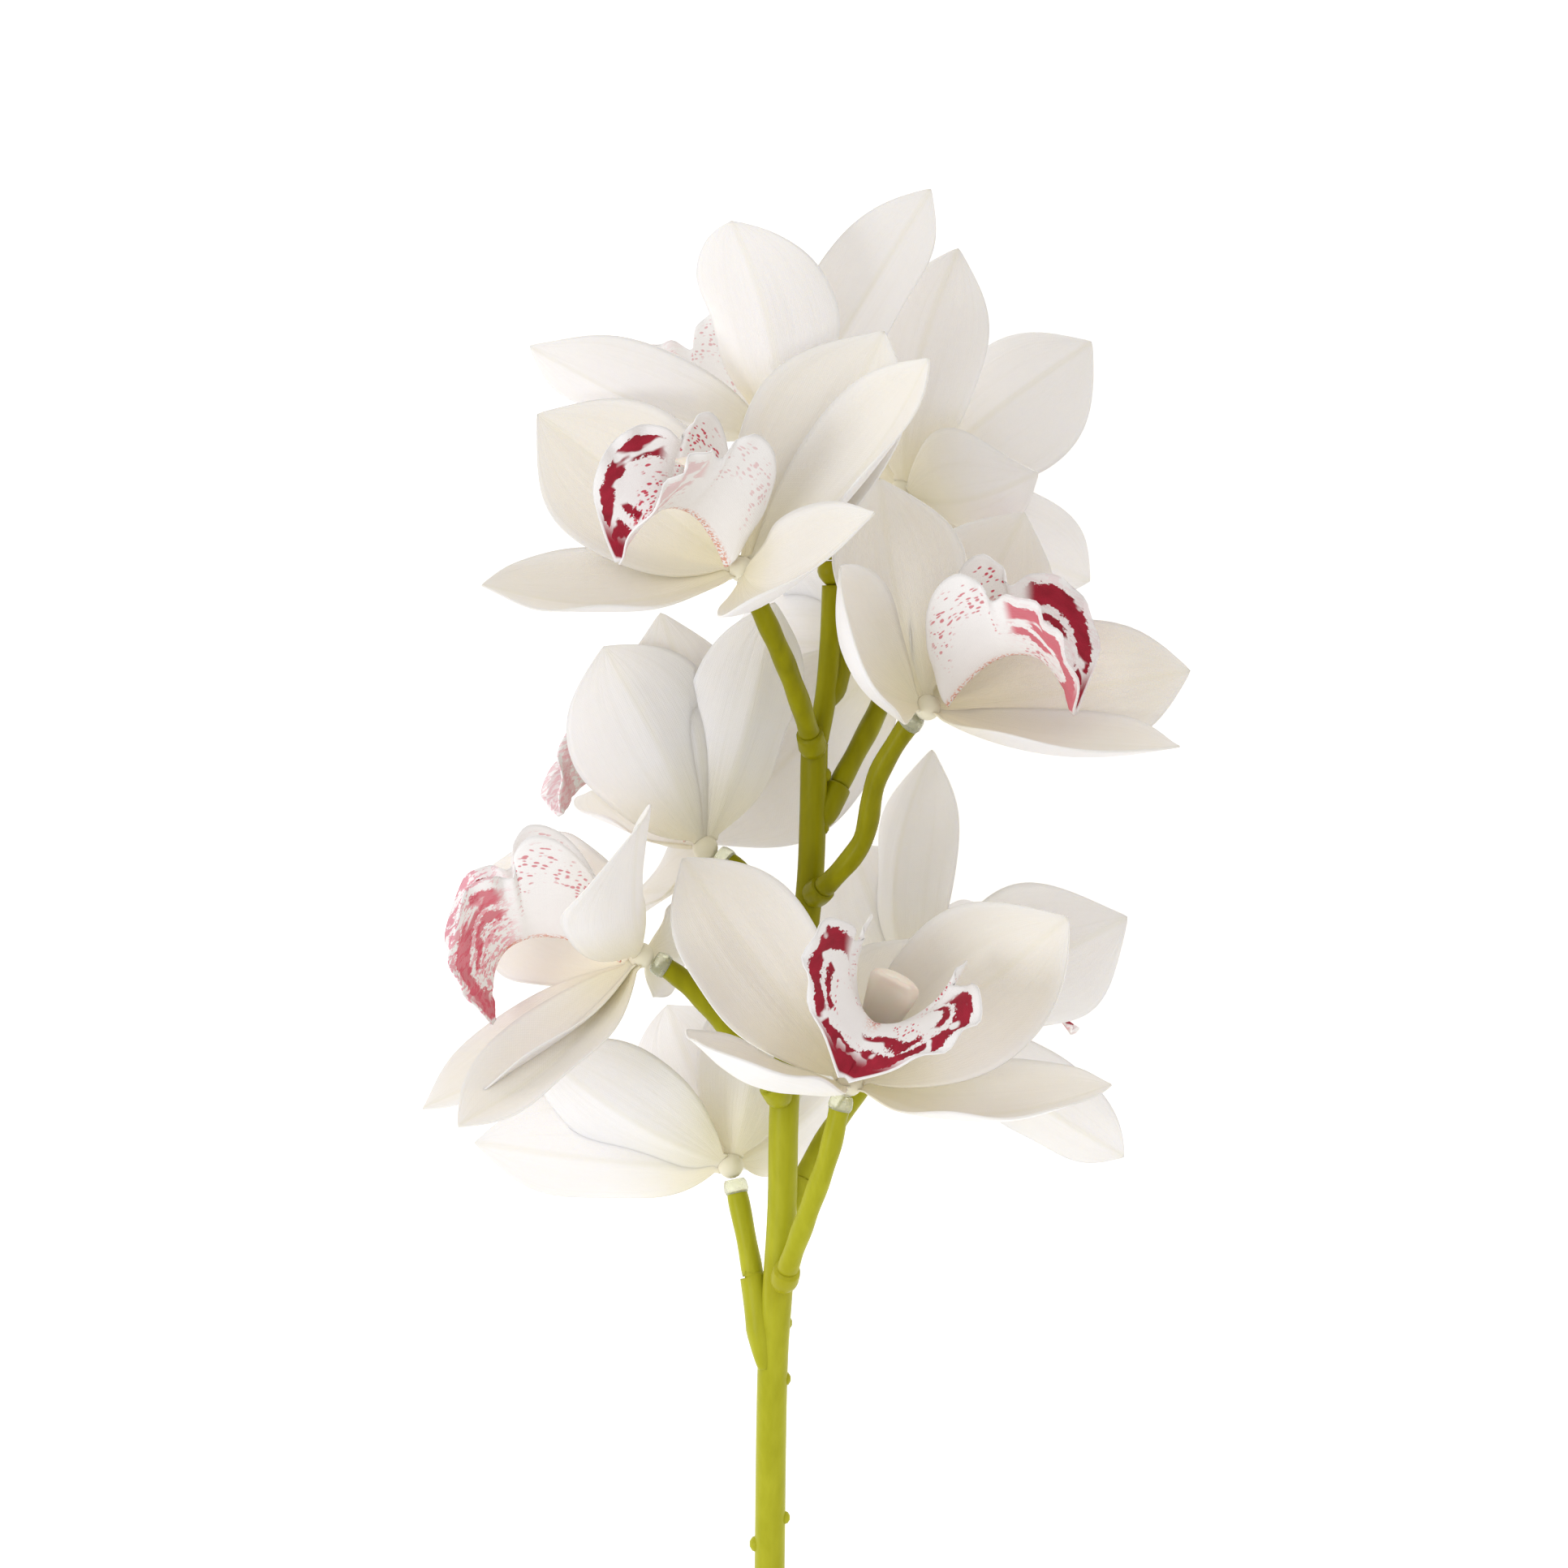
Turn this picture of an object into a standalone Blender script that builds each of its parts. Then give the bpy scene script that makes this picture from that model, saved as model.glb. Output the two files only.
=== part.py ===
import bpy
import bmesh
import math
from mathutils import Vector

# Cut stem of an artificial cymbidium orchid, lying on a surface at z = 0.
# Lengths below are millimetres: x across, y along the stem toward the head, z up from the surface.
mm = 0.001
shift = Vector((-5.01, -98.12, -0.01))
sheetThickness = 0.8
hubRadius = 3.7
pieceGap = 0.32

tepalRows = [0.0, 0.12, 0.3, 0.5, 0.7, 0.87, 1.0]
tepalColumns = [-1.0, -0.5, 0.0, 0.5, 1.0]

# Each bloom: centre, lip (forward, upward, size, how widely it opens) and its tepals.
# Each tepal: tip offset from the centre, width, bow, cup in degrees, direction its inner face looks,
# sideways bend, and how blunt its tip is.
blooms = {
    "A": {
        "centre": (-9.2, 221.2, 94.0),
        "lip": ((-0.78, 0.12, 0.6), (0.3, 0.94, 0.12), 1.0),
        "tepals": [
            ((-45.5, 34.7, -8.0), 38, -4.0, 30, (0.1, 0.0, 1.0)),
            ((31.1, 53.1, -6.0), 38, -5.0, 35, (-0.3, 0.1, 1.0)),
            ((40.0, 46.8, 18.0), 35, -6.0, 45, (-0.6, 0.5, 0.5)),
            ((-57.2, -2.3, 14.0), 31, -6.5, 40, (0.0, 0.8, 0.45)),
            ((28.0, 12.8, 42.0), 36, -1.0, 45, (-0.69, 0.66, 0.3), 13.0),
        ],
    },
    "B": {
        "centre": (31.7, 190.8, 88.0),
        "lip": ((0.95, 0.04, 0.3), (-0.1, 0.97, 0.22), 1.0),
        "tepals": [
            ((-18.0, 31.0, 34.0), 40, -8.0, 50, (0.8, 0.25, 0.3), -4.0),
            ((-10.3, 50.8, 0.0), 34, -5.0, 35, (0.3, 0.0, 1.0)),
            ((22.1, 43.9, -20.0), 34, -5.0, 30, (0.1, 0.1, 1.0)),
            ((58.5, 8.5, -8.0), 31, -4.0, 30, (0.0, 0.2, 1.0)),
            ((55.4, -7.2, 20.0), 35, -6.0, 35, (-0.1, 1.0, 0.2)),
        ],
    },
    "C": {
        "centre": (-31.7, 135.9, 76.0),
        "lip": ((-0.93, -0.33, 0.0), (-0.33, 0.92, 0.12), 1.08),
        "tepals": [
            ((-1.3, 29.7, 46.0), 36, -1.0, 60, (-0.83, 0.45, -0.31), 4.0, 2.2),
            ((-40.5, -36.5, 24.0), 27, -5.0, 35, (-0.35, 0.7, 0.7), 0.0, 1.0),
            ((-49.0, -32.9, 4.0), 30, -4.0, 35, (-0.4, 0.8, 0.4)),
            ((-37.8, 17.8, -40.0), 38, -5.0, 30, (0.0, 0.0, 1.0)),
            ((9.0, 2.0, -54.0), 24, -4.0, 30, (-1.0, 0.2, 0.0)),
        ],
    },
    "D": {
        "centre": (-17.6, 159.7, 50.0),
        "lip": ((-0.95, 0.29, 0.13), (0.15, 0.77, -0.63), 1.0),
        "tepals": [
            ((-23.0, 45.0, 14.0), 38, -5.0, 35, (-0.2, -0.1, -1.0), 0.0, 2.0),
            ((14.8, 54.9, 2.0), 29, -4.0, 35, (-0.45, 0.1, -0.9)),
            ((-10.8, 52.2, 4.0), 35, -6.0, 40, (-0.5, 0.1, -0.8)),
            ((-17.0, -10.0, -36.0), 26, -4.0, 35, (-0.8, 0.3, -0.3)),
            ((-26.0, 14.0, -49.3), 26, -4.0, 35, (-0.3, 0.6, -0.5)),
        ],
    },
    "E": {
        "centre": (25.9, 205.6, 38.0),
        "lip": ((0.78, 0.6, -0.16), (0.47, -0.39, 0.79), 0.95),
        "tepals": [
            ((-43.5, -44.5, -22.0), 39, -3.0, 30, (0.0, 0.1, -1.0)),
            ((-22.0, 34.0, -30.0), 34, -4.0, 30, (0.4, -0.4, -1.0)),
            ((34.0, -6.0, -32.0), 34, -4.0, 30, (-0.4, 0.0, -1.0)),
            ((-38.0, 0.0, -32.0), 32, -4.0, 30, (0.4, 0.0, -1.0)),
            ((10.0, -6.0, -37.8), 30, -4.0, 30, (0.2, 0.5, -0.3)),
        ],
    },
    "F": {
        "centre": (-2.0, 251.0, 64.0),
        "lip": ((-0.84, -0.22, -0.5), (0.06, 0.87, -0.49), 0.97),
        "tepals": [
            ((-9.5, 48.0, 26.0), 32, -6.0, 40, (0.1, 0.5, -0.85), -5.0, 2.6),
            ((-54.0, 21.0, 20.0), 30, -5.0, 30, (-0.1, 0.85, -0.5), -1.0),
            ((0.0, 38.0, -46.0), 26, -4.0, 30, (-0.3, -0.2, -0.8)),
            ((34.0, 55.5, 4.0), 25, -3.0, 30, (-0.4, 0.2, -0.9), 1.0, 1.0),
            ((-4.0, -22.0, -46.0), 28, -4.0, 30, (-0.3, 0.6, -0.3)),
        ],
    },
    "G": {
        "centre": (26.5, 239.4, 34.0),
        "lip": ((0.45, -0.4, -0.8), (0.3, 0.91, -0.28), 0.8),
        "tepals": [
            ((13.0, 54.3, 10.0), 29, -5.0, 40, (0.3, 0.0, -0.9), 1.5, 1.1),
            ((42.6, 33.3, -16.0), 35.1, -4.0, 35, (0.2, -0.2, -1.0)),
            ((30.6, 4.9, 16.0), 36, -6.0, 40, (0.3, 0.6, -0.6)),
            ((41.9, -19.0, -30.0), 28, -4.0, 35, (0.1, 0.2, -1.0)),
            ((-14.4, 33.4, -30.5), 31, -4.5, 30, (0.3, -0.2, -1.0)),
        ],
    },
    "H": {
        "centre": (-11.9, 88.6, 45.0),
        "lip": ((-0.71, 0.02, -0.7), (0.66, 0.37, -0.66), 0.7),
        "tepals": [
            ((-43.2, 27.5, 12.0), 30, -5.0, 35, (0.1, 0.5, -0.8)),
            ((-57.1, 5.8, -8.0), 32, -4.0, 35, (0.0, 0.5, -0.85), -1.0, 1.0),
            ((-14.0, 34.2, -42.0), 32, -4.0, 30, (0.1, -0.2, -1.0)),
            ((27.0, 24.0, -36.0), 32, -4.0, 35, (-0.5, 0.3, -0.8)),
            ((9.0, 42.0, -6.0), 28, -4.0, 30, (-0.2, -0.1, -1.0)),
        ],
    },
    "I": {
        "centre": (14.6, 107.5, 76.0),
        "lip": ((0.0, 0.12, 0.98), (0.44, 0.89, -0.1), 1.08, 1.45),
        "tepals": [
            ((-36.7, 49.9, 12.0), 32, -4.0, 30, (0.2, 0.0, 1.0)),
            ((-33.7, 11.7, 46.0), 33, -6.0, 40, (0.3, 1.0, 0.2)),
            ((47.9, 36.9, 10.0), 39, -5.0, 35, (-0.2, 0.1, 1.0)),
            ((57.6, 1.3, 14.0), 34, -7.5, 35, (-0.1, 0.85, 0.35)),
            ((16.4, 32.4, -20.0), 30, -3.0, 30, (0.0, -0.2, 1.0)),
        ],
    },
    "J": {
        "centre": (29.5, 123.7, 36.0),
        "lip": ((1.0, -0.05, -0.08), (-0.04, 0.51, -0.86), 1.0),
        "tepals": [
            ((4.9, 57.6, -6.0), 30, -4.0, 35, (0.7, 0.0, -0.6), 5.0),
            ((-14.0, 36.0, -30.0), 34, -4.0, 30, (0.2, -0.2, -1.0)),
            ((47.3, 21.1, 16.0), 38, -6.0, 35, (0.0, 0.3, -1.0)),
            ((47.0, -32.8, -6.0), 23, -4.0, 35, (0.0, 0.5, -0.9)),
            ((30.0, -14.0, -34.0), 26, -4.0, 35, (0.4, 0.5, -0.4)),
        ],
    },
}

# Main stem: centre line points with radius.
stemLine = [
    (-3.6, -110.0, 3.6, 3.6), (-3.6, -80.0, 5.5, 3.5), (-3.5, -40.0, 15.0, 3.4), (-3.2, 0.0, 28.5, 3.4),
    (-2.6, 41.8, 43.5, 3.4), (-1.4, 61.6, 50.0, 3.4), (-0.4, 79.6, 54.8, 3.3), (0.2, 104.8, 59.5, 3.3),
    (3.0, 128.0, 61.5, 3.1), (5.6, 149.8, 62.5, 3.0), (6.4, 166.0, 63.0, 3.0), (6.8, 182.0, 63.0, 3.0),
    (7.6, 184.6, 63.0, 2.5), (9.2, 193.0, 62.5, 2.4), (10.2, 205.0, 62.0, 2.3), (10.6, 218.0, 61.5, 2.2),
]

# Pedicels: centre line points from the stem to the bloom, and radius.
pedicels = {
    "H": [(-4.6, 43.0, 46.5), (-5.6, 55.0, 46.8), (-7.6, 68.0, 46.5), (-11.0, 85.0, 45.5)],
    "I": [(-0.6, 61.0, 53.0), (1.5, 68.0, 60.0), (5.5, 79.0, 67.0), (10.0, 92.0, 73.0), (12.8, 104.0, 75.5)],
    "J": [(0.6, 78.0, 54.0), (7.0, 91.0, 47.0), (16.0, 104.5, 41.0), (25.5, 118.5, 37.5)],
    "C": [(0.0, 103.0, 60.0), (-4.0, 108.5, 67.0), (-14.5, 122.0, 72.5), (-22.0, 130.0, 74.5), (-28.0, 134.3, 75.5)],
    "D": [(6.0, 131.0, 61.5), (-1.0, 143.0, 57.0), (-8.0, 152.5, 52.5), (-14.5, 158.0, 50.5)],
    "B": [(5.6, 148.5, 63.0), (10.0, 152.0, 70.0), (17.5, 161.5, 76.0), (20.5, 175.0, 81.0), (27.5, 187.0, 86.0)],
    "E": [(6.6, 163.0, 63.0), (14.0, 177.0, 58.5), (21.0, 190.5, 51.5), (25.0, 202.0, 47.0)],
    "A": [(6.9, 180.0, 64.0), (4.5, 189.0, 72.0), (0.5, 200.0, 80.0), (-4.0, 210.0, 87.0), (-8.0, 218.5, 91.0)],
    "F": [(10.6, 218.0, 61.5), (10.0, 230.0, 62.0), (6.0, 240.5, 63.0), (2.0, 246.5, 63.7)],
    "G": [(9.6, 191.0, 62.3), (13.0, 203.0, 57.0), (18.0, 218.0, 48.0), (23.5, 231.8, 39.0)],
}
pedicelRadius = 2.35

lipKeel = [(0.0, 0.0), (3.2, 3.6), (6.8, 6.7), (9.6, 8.8), (12.2, 10.1), (14.6, 10.9), (17.0, 11.2),
           (19.4, 11.0), (21.8, 10.2), (24.2, 8.2), (26.2, 5.0), (27.4, 1.5), (28.2, -2.5)]
lipMargin = [(-0.5, 3.5), (-1.0, 13.0), (0.0, 22.0), (3.5, 29.0), (8.5, 32.0), (13.0, 29.5), (15.0, 25.0),
             (19.5, 27.0), (25.5, 25.5), (30.5, 19.0), (33.0, 10.5), (31.5, 3.0), (29.2, -3.2)]
lipSpread = [2.2, 6.0, 9.0, 10.0, 9.5, 8.5, 8.0, 9.5, 12.0, 13.0, 10.5, 5.5, 0.8]
lipColumns = [-1.0, -0.6, 0.0, 0.6, 1.0]
columnLine = [(0.5, 7.0), (4.5, 12.5), (9.0, 17.5), (14.0, 20.8), (18.5, 21.0)]
columnWidths = [2.0, 3.7, 4.9, 5.4, 3.6]
columnDepths = [1.8, 2.1, 2.2, 2.0, 1.2]


def clearObjects():
    for item in list(bpy.data.objects):
        bpy.data.objects.remove(item, do_unlink=True)
    for item in list(bpy.data.meshes):
        bpy.data.meshes.remove(item)
    for item in list(bpy.data.materials):
        bpy.data.materials.remove(item)


def makeMaterial(name, color, roughness):
    material = bpy.data.materials.new(name)
    material.use_nodes = True
    surface = material.node_tree.nodes["Principled BSDF"]
    surface.inputs["Base Color"].default_value = (color[0], color[1], color[2], 1.0)
    surface.inputs["Roughness"].default_value = roughness
    surface.inputs["Metallic"].default_value = 0.0
    material.diffuse_color = (color[0], color[1], color[2], 1.0)
    return material


def makeObject(name, bm, material):
    bmesh.ops.recalc_face_normals(bm, faces=bm.faces)
    if bm.calc_volume(signed=True) < 0.0:
        bmesh.ops.reverse_faces(bm, faces=bm.faces)
    mesh = bpy.data.meshes.new(name)
    bm.to_mesh(mesh)
    bm.free()
    mesh.shade_smooth()
    mesh.set_sharp_from_angle(angle=math.radians(45))
    mesh.materials.append(material)
    item = bpy.data.objects.new(name, mesh)
    bpy.context.scene.collection.objects.link(item)
    return item


def sheetSolid(name, rows, columns, pointAt, thickness, material):
    """Closed sheet over a grid: both faces are triangulated alike."""
    bm = bmesh.new()
    along = len(rows) - 1
    across = len(columns) - 1
    bmesh.ops.create_grid(bm, x_segments=across, y_segments=along, size=0.5)
    bm.verts.ensure_lookup_table()
    place = {}
    for vert in bm.verts:
        row = round((vert.co.y + 0.5) * along)
        column = round((vert.co.x + 0.5) * across)
        place[vert] = (row, column)
    grid = [[pointAt(s, v) for v in columns] for s in rows]
    for vert, (row, column) in place.items():
        vert.co = grid[row][column]
    bmesh.ops.triangulate(bm, faces=bm.faces[:], quad_method="SHORT_EDGE")
    bm.normal_update()
    normals = {}
    for (vert, key) in place.items():
        normals[key] = vert.normal.copy()
    under = bmesh.ops.extrude_face_region(bm, geom=bm.faces[:], use_keep_orig=True)
    moved = [item for item in under["geom"] if isinstance(item, bmesh.types.BMVert)]
    nearest = {}
    for vert, key in place.items():
        nearest[tuple(round(value, 4) for value in vert.co)] = key
    for vert in moved:
        key = nearest[tuple(round(value, 4) for value in vert.co)]
        vert.co = vert.co - normals[key] * thickness * 0.5
    for vert, key in place.items():
        vert.co = vert.co + normals[key] * thickness * 0.5
    for vert in bm.verts:
        vert.co = vert.co * mm + shift * mm
    return makeObject(name, bm, material)


def tepalFrame(tip, face):
    along = tip.normalized()
    normal = face - along * face.dot(along)
    normal.normalize()
    side = along.cross(normal)
    return along, normal, side


def tepalPoint(centre, spec, s, v):
    tip = Vector(spec[0])
    width = spec[1]
    bow = spec[2]
    cup = math.radians(spec[3])
    along, normal, side = tepalFrame(tip, Vector(spec[4]))
    length = tip.length
    start = 2.2 / length
    t = start + s * (1.0 - start)
    sway = spec[5] if len(spec) > 5 else 0.0
    middle = tip * t + (normal * bow + side * sway) * 4.0 * t * (1.0 - t) - normal * 1.5 * s ** 6
    shape = (s ** 0.8) * ((1.0 - s) ** 0.62) / 0.3783
    corner = (spec[6] if len(spec) > 6 else 1.25) * (1.0 - s) * length + 0.35
    half = max(min(0.5 * width * shape, corner), 2.1 * (1.0 - s) ** 2)
    bend = cup * math.sin(math.pi * min(1.0, 0.12 + 0.88 * s)) + 0.12
    across = half * math.sin(bend * v) / bend
    rise = half * (1.0 - math.cos(bend * v)) / bend
    crease = 0.9 * math.exp(-(v / 0.2) ** 2) * math.sin(math.pi * s)
    return centre + middle + side * across + normal * (rise - crease)


def tubeSolid(name, points, radii, sides, material, across=None, depths=None):
    """Closed tube along a line of points; with across and depths it is flattened."""
    bm = bmesh.new()
    directions = []
    last = len(points) - 1
    for k in range(last + 1):
        before = points[max(k - 1, 0)]
        after = points[min(k + 1, last)]
        directions.append((after - before).normalized())
    turn = Vector((0, 0, 1)).rotation_difference(directions[0])
    rings = []
    ring = bmesh.ops.create_circle(bm, cap_ends=True, segments=sides, radius=1.0)["verts"]
    flat = [vert.co.copy() for vert in ring]
    rings.append(ring)
    loop = bm.edges[:]
    for k in range(last):
        extruded = bmesh.ops.extrude_edge_only(bm, edges=loop)
        ring = [item for item in extruded["geom"] if isinstance(item, bmesh.types.BMVert)]
        loop = [item for item in extruded["geom"] if isinstance(item, bmesh.types.BMEdge)]
        rings.append(ring)
    bmesh.ops.contextual_create(bm, geom=loop)
    order = {tuple(round(value, 5) for value in co): k for k, co in enumerate(flat)}
    indices = [[order[tuple(round(value, 5) for value in vert.co)] for vert in ring] for ring in rings]
    for k, ring in enumerate(rings):
        if k > 0:
            turn = directions[k - 1].rotation_difference(directions[k]) @ turn
        for vert, index in zip(ring, indices[k]):
            if across is None:
                vert.co = points[k] + turn @ (flat[index] * radii[k])
            else:
                over = directions[k].cross(across)
                vert.co = points[k] + across * flat[index].x * radii[k] + over * flat[index].y * depths[k]
    for vert in bm.verts:
        vert.co = vert.co * mm + shift * mm
    return makeObject(name, bm, material)


def ballSolid(name, centre, radii, material):
    bm = bmesh.new()
    bmesh.ops.create_icosphere(bm, subdivisions=1, radius=1.0)
    for vert in bm.verts:
        local = Vector((vert.co.x * radii[0], vert.co.y * radii[1], vert.co.z * radii[2]))
        vert.co = (centre + local) * mm + shift * mm
    return makeObject(name, bm, material)


def openEdges(mesh):
    bm = bmesh.new()
    bm.from_mesh(mesh)
    count = sum(1 for edge in bm.edges if not edge.is_manifold)
    bm.free()
    return count


def uniteAll(target, others):
    """One body from overlapping ones."""
    group = bpy.data.collections.new(target.name + "_parts")
    for item in others:
        group.objects.link(item)
    best = None
    fewest = 100000
    for solver, selfCross in (("EXACT", False), ("EXACT", True), ("MANIFOLD", False)):
        union = target.modifiers.new("union", "BOOLEAN")
        union.operation = "UNION"
        union.operand_type = "COLLECTION"
        union.collection = group
        union.solver = solver
        union.use_self = selfCross
        graph = bpy.context.evaluated_depsgraph_get()
        mesh = bpy.data.meshes.new_from_object(target.evaluated_get(graph))
        target.modifiers.clear()
        bm = bmesh.new()
        bm.from_mesh(mesh)
        bmesh.ops.remove_doubles(bm, verts=bm.verts, dist=0.000001)
        bmesh.ops.triangulate(bm, faces=bm.faces)
        bm.to_mesh(mesh)
        bm.free()
        count = openEdges(mesh)
        if count < fewest:
            best = mesh
            fewest = count
        if count == 0:
            break
    old = target.data
    target.data = best
    best.name = target.name
    bpy.data.meshes.remove(old)
    for item in others:
        data = item.data
        bpy.data.objects.remove(item, do_unlink=True)
        bpy.data.meshes.remove(data)
    bpy.data.collections.remove(group)


def makeTepals(letter, bloom, material):
    centre = Vector(bloom["centre"])
    hub = ballSolid("bloom_" + letter + "_tepals", centre, (hubRadius, hubRadius, hubRadius), material)
    blades = []
    for k, spec in enumerate(bloom["tepals"]):
        blades.append(sheetSolid(
            "tepal_" + str(k), tepalRows, tepalColumns,
            lambda s, v, spec=spec: tepalPoint(centre, spec, s, v), sheetThickness, material))
    uniteAll(hub, blades)
    return hub


def lipFrame(bloom):
    forward = Vector(bloom["lip"][0]).normalized()
    upward = Vector(bloom["lip"][1])
    upward = (upward - forward * upward.dot(forward)).normalized()
    side = forward.cross(upward)
    origin = Vector(bloom["centre"]) + forward * (hubRadius + 1.0)
    size = bloom["lip"][2]
    opening = bloom["lip"][3] if len(bloom["lip"]) > 3 else 1.0
    return origin, forward, upward, side, size, opening


def lipPoint(frame, row, v):
    origin, forward, upward, side, size, opening = frame
    keel = Vector(lipKeel[row])
    margin = Vector(lipMargin[row])
    reach = abs(v)
    rise = reach ** 1.25
    opened = 1.0 + (opening - 1.0) * min(1.0, row / 7.0) ** 2
    fold = max(0.0, min(1.0, (row - 6.0) / 4.0))
    around = (1.0 - fold) * math.sin(reach * math.pi * 0.5) ** 0.8 + fold * reach ** 1.1
    spread = lipSpread[row] * opened * around
    flat = keel + (margin - keel) * rise
    wall = spread if v >= 0 else -spread
    return origin + (forward * flat.x + upward * flat.y + side * wall) * size


def makeLip(letter, bloom, material):
    frame = lipFrame(bloom)
    rows = list(range(len(lipKeel)))
    return sheetSolid(
        "bloom_" + letter + "_lip", rows, lipColumns,
        lambda row, v: lipPoint(frame, row, v), sheetThickness, material)


def makeColumn(letter, bloom, material):
    origin, forward, upward, side, size, opening = lipFrame(bloom)
    points = [origin + (forward * x + upward * y) * size for x, y in columnLine]
    widths = [value * size for value in columnWidths]
    depths = [value * size for value in columnDepths]
    return tubeSolid("bloom_" + letter + "_column", points, widths, 10, material, side, depths)


def smoothLine(points, steps):
    """Points along a smooth curve through the given ones."""
    result = []
    last = len(points) - 1
    for k in range(last):
        a = points[max(k - 1, 0)]
        b = points[k]
        c = points[k + 1]
        d = points[min(k + 2, last)]
        for j in range(steps):
            t = j / steps
            result.append(0.5 * ((2.0 * b) + (c - a) * t + (2.0 * a - 5.0 * b + 4.0 * c - d) * t * t
                                 + (3.0 * b - a - 3.0 * c + d) * t ** 3))
    result.append(points[last].copy())
    return result


def cutLine(points, begin, end):
    """The part of a line between two distances from its start."""
    result = []
    walked = 0.0
    for k in range(len(points) - 1):
        a = points[k]
        b = points[k + 1]
        step = (b - a).length
        if walked <= begin < walked + step:
            result.append(a.lerp(b, (begin - walked) / step))
        elif begin < walked < end:
            result.append(a.copy())
        if walked <= end <= walked + step:
            result.append(a.lerp(b, (end - walked) / step))
            break
        walked += step
    return result


def clearOfStem(path, clearance):
    """Distance along a path at which it is well clear of the main stem."""
    total = lineLength(path)
    walked = 0.0
    while walked < total:
        spot = cutLine(path, 0.0, walked + 0.01)[-1]
        near = min(distanceToSegment(spot, stemLine[k], stemLine[k + 1]) for k in range(len(stemLine) - 1))
        if near > clearance:
            return walked
        walked += 0.5
    return total


def distanceToSegment(spot, a, b):
    start = Vector(a[:3])
    reach = Vector(b[:3]) - start
    t = max(0.0, min(1.0, (spot - start).dot(reach) / reach.length_squared))
    return (spot - start - reach * t).length - 0.5 * (a[3] + b[3])


def lineLength(points):
    return sum((points[k + 1] - points[k]).length for k in range(len(points) - 1))


def build():
    clearObjects()
    green = makeMaterial("stem_green", (0.46, 0.52, 0.07), 0.4)
    clear = makeMaterial("collar_clear", (0.82, 0.84, 0.7), 0.3)
    white = makeMaterial("tepal_white", (0.93, 0.91, 0.84), 0.75)
    blush = makeMaterial("lip_print", (0.93, 0.84, 0.84), 0.75)
    cream = makeMaterial("column_cream", (0.93, 0.87, 0.74), 0.6)
    for letter, bloom in blooms.items():
        makeTepals(letter, bloom, white)
        makeLip(letter, bloom, blush)
        makeColumn(letter, bloom, cream)
    points = [Vector(p[:3]) for p in stemLine]
    stem = tubeSolid("main_stem", points, [p[3] for p in stemLine], 10, green)
    sockets = []
    for letter, line in pedicels.items():
        centre = Vector(blooms[letter]["centre"])
        path = smoothLine([Vector(p) for p in line] + [centre], 3)
        total = lineLength(path)
        socketEnd = clearOfStem(path, pedicelRadius + 0.9)
        endCollar = total - hubRadius - pieceGap
        startCollar = endCollar - 2.4
        endPedicel = startCollar - 2.0 * pieceGap
        socket = cutLine(path, 0.0, socketEnd)
        sockets.append(tubeSolid("socket_" + letter, socket, [pedicelRadius + 0.35] * len(socket), 8, green))
        body = cutLine(path, socketEnd + pieceGap, endPedicel)
        radii = [pedicelRadius] * len(body)
        tubeSolid("pedicel_" + letter, body, radii, 8, green)
        collar = cutLine(path, startCollar, endCollar)
        collar = [collar[0], collar[-1]]
        tubeSolid("collar_" + letter, collar, [2.7, 2.5], 8, clear)
    uniteAll(stem, sockets)


build()
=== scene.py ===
import bpy
import bmesh
import math
import random
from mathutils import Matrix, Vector, noise


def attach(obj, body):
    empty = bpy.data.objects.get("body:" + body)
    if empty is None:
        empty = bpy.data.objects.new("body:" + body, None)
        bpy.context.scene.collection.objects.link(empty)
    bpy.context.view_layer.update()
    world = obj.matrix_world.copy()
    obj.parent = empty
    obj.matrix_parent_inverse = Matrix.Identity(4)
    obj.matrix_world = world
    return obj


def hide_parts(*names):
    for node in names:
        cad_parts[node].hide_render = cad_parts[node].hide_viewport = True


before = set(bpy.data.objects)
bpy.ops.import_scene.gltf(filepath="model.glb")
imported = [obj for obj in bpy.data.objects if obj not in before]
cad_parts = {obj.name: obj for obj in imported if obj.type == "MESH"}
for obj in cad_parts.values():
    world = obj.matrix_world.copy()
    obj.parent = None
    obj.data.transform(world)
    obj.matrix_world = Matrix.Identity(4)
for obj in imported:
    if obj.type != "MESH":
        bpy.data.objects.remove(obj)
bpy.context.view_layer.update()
print("frame loaded:", len(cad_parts), "nodes")

# Lengths are millimetres from the middle of the photo's lower edge: y runs along the stem, z is up.
# shift moves them into the frame of the solids.
mm = 0.001
shift = Vector((-5.01, -98.12, -0.01))
hubRadius = 3.7
pieceGap = 0.32

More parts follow.
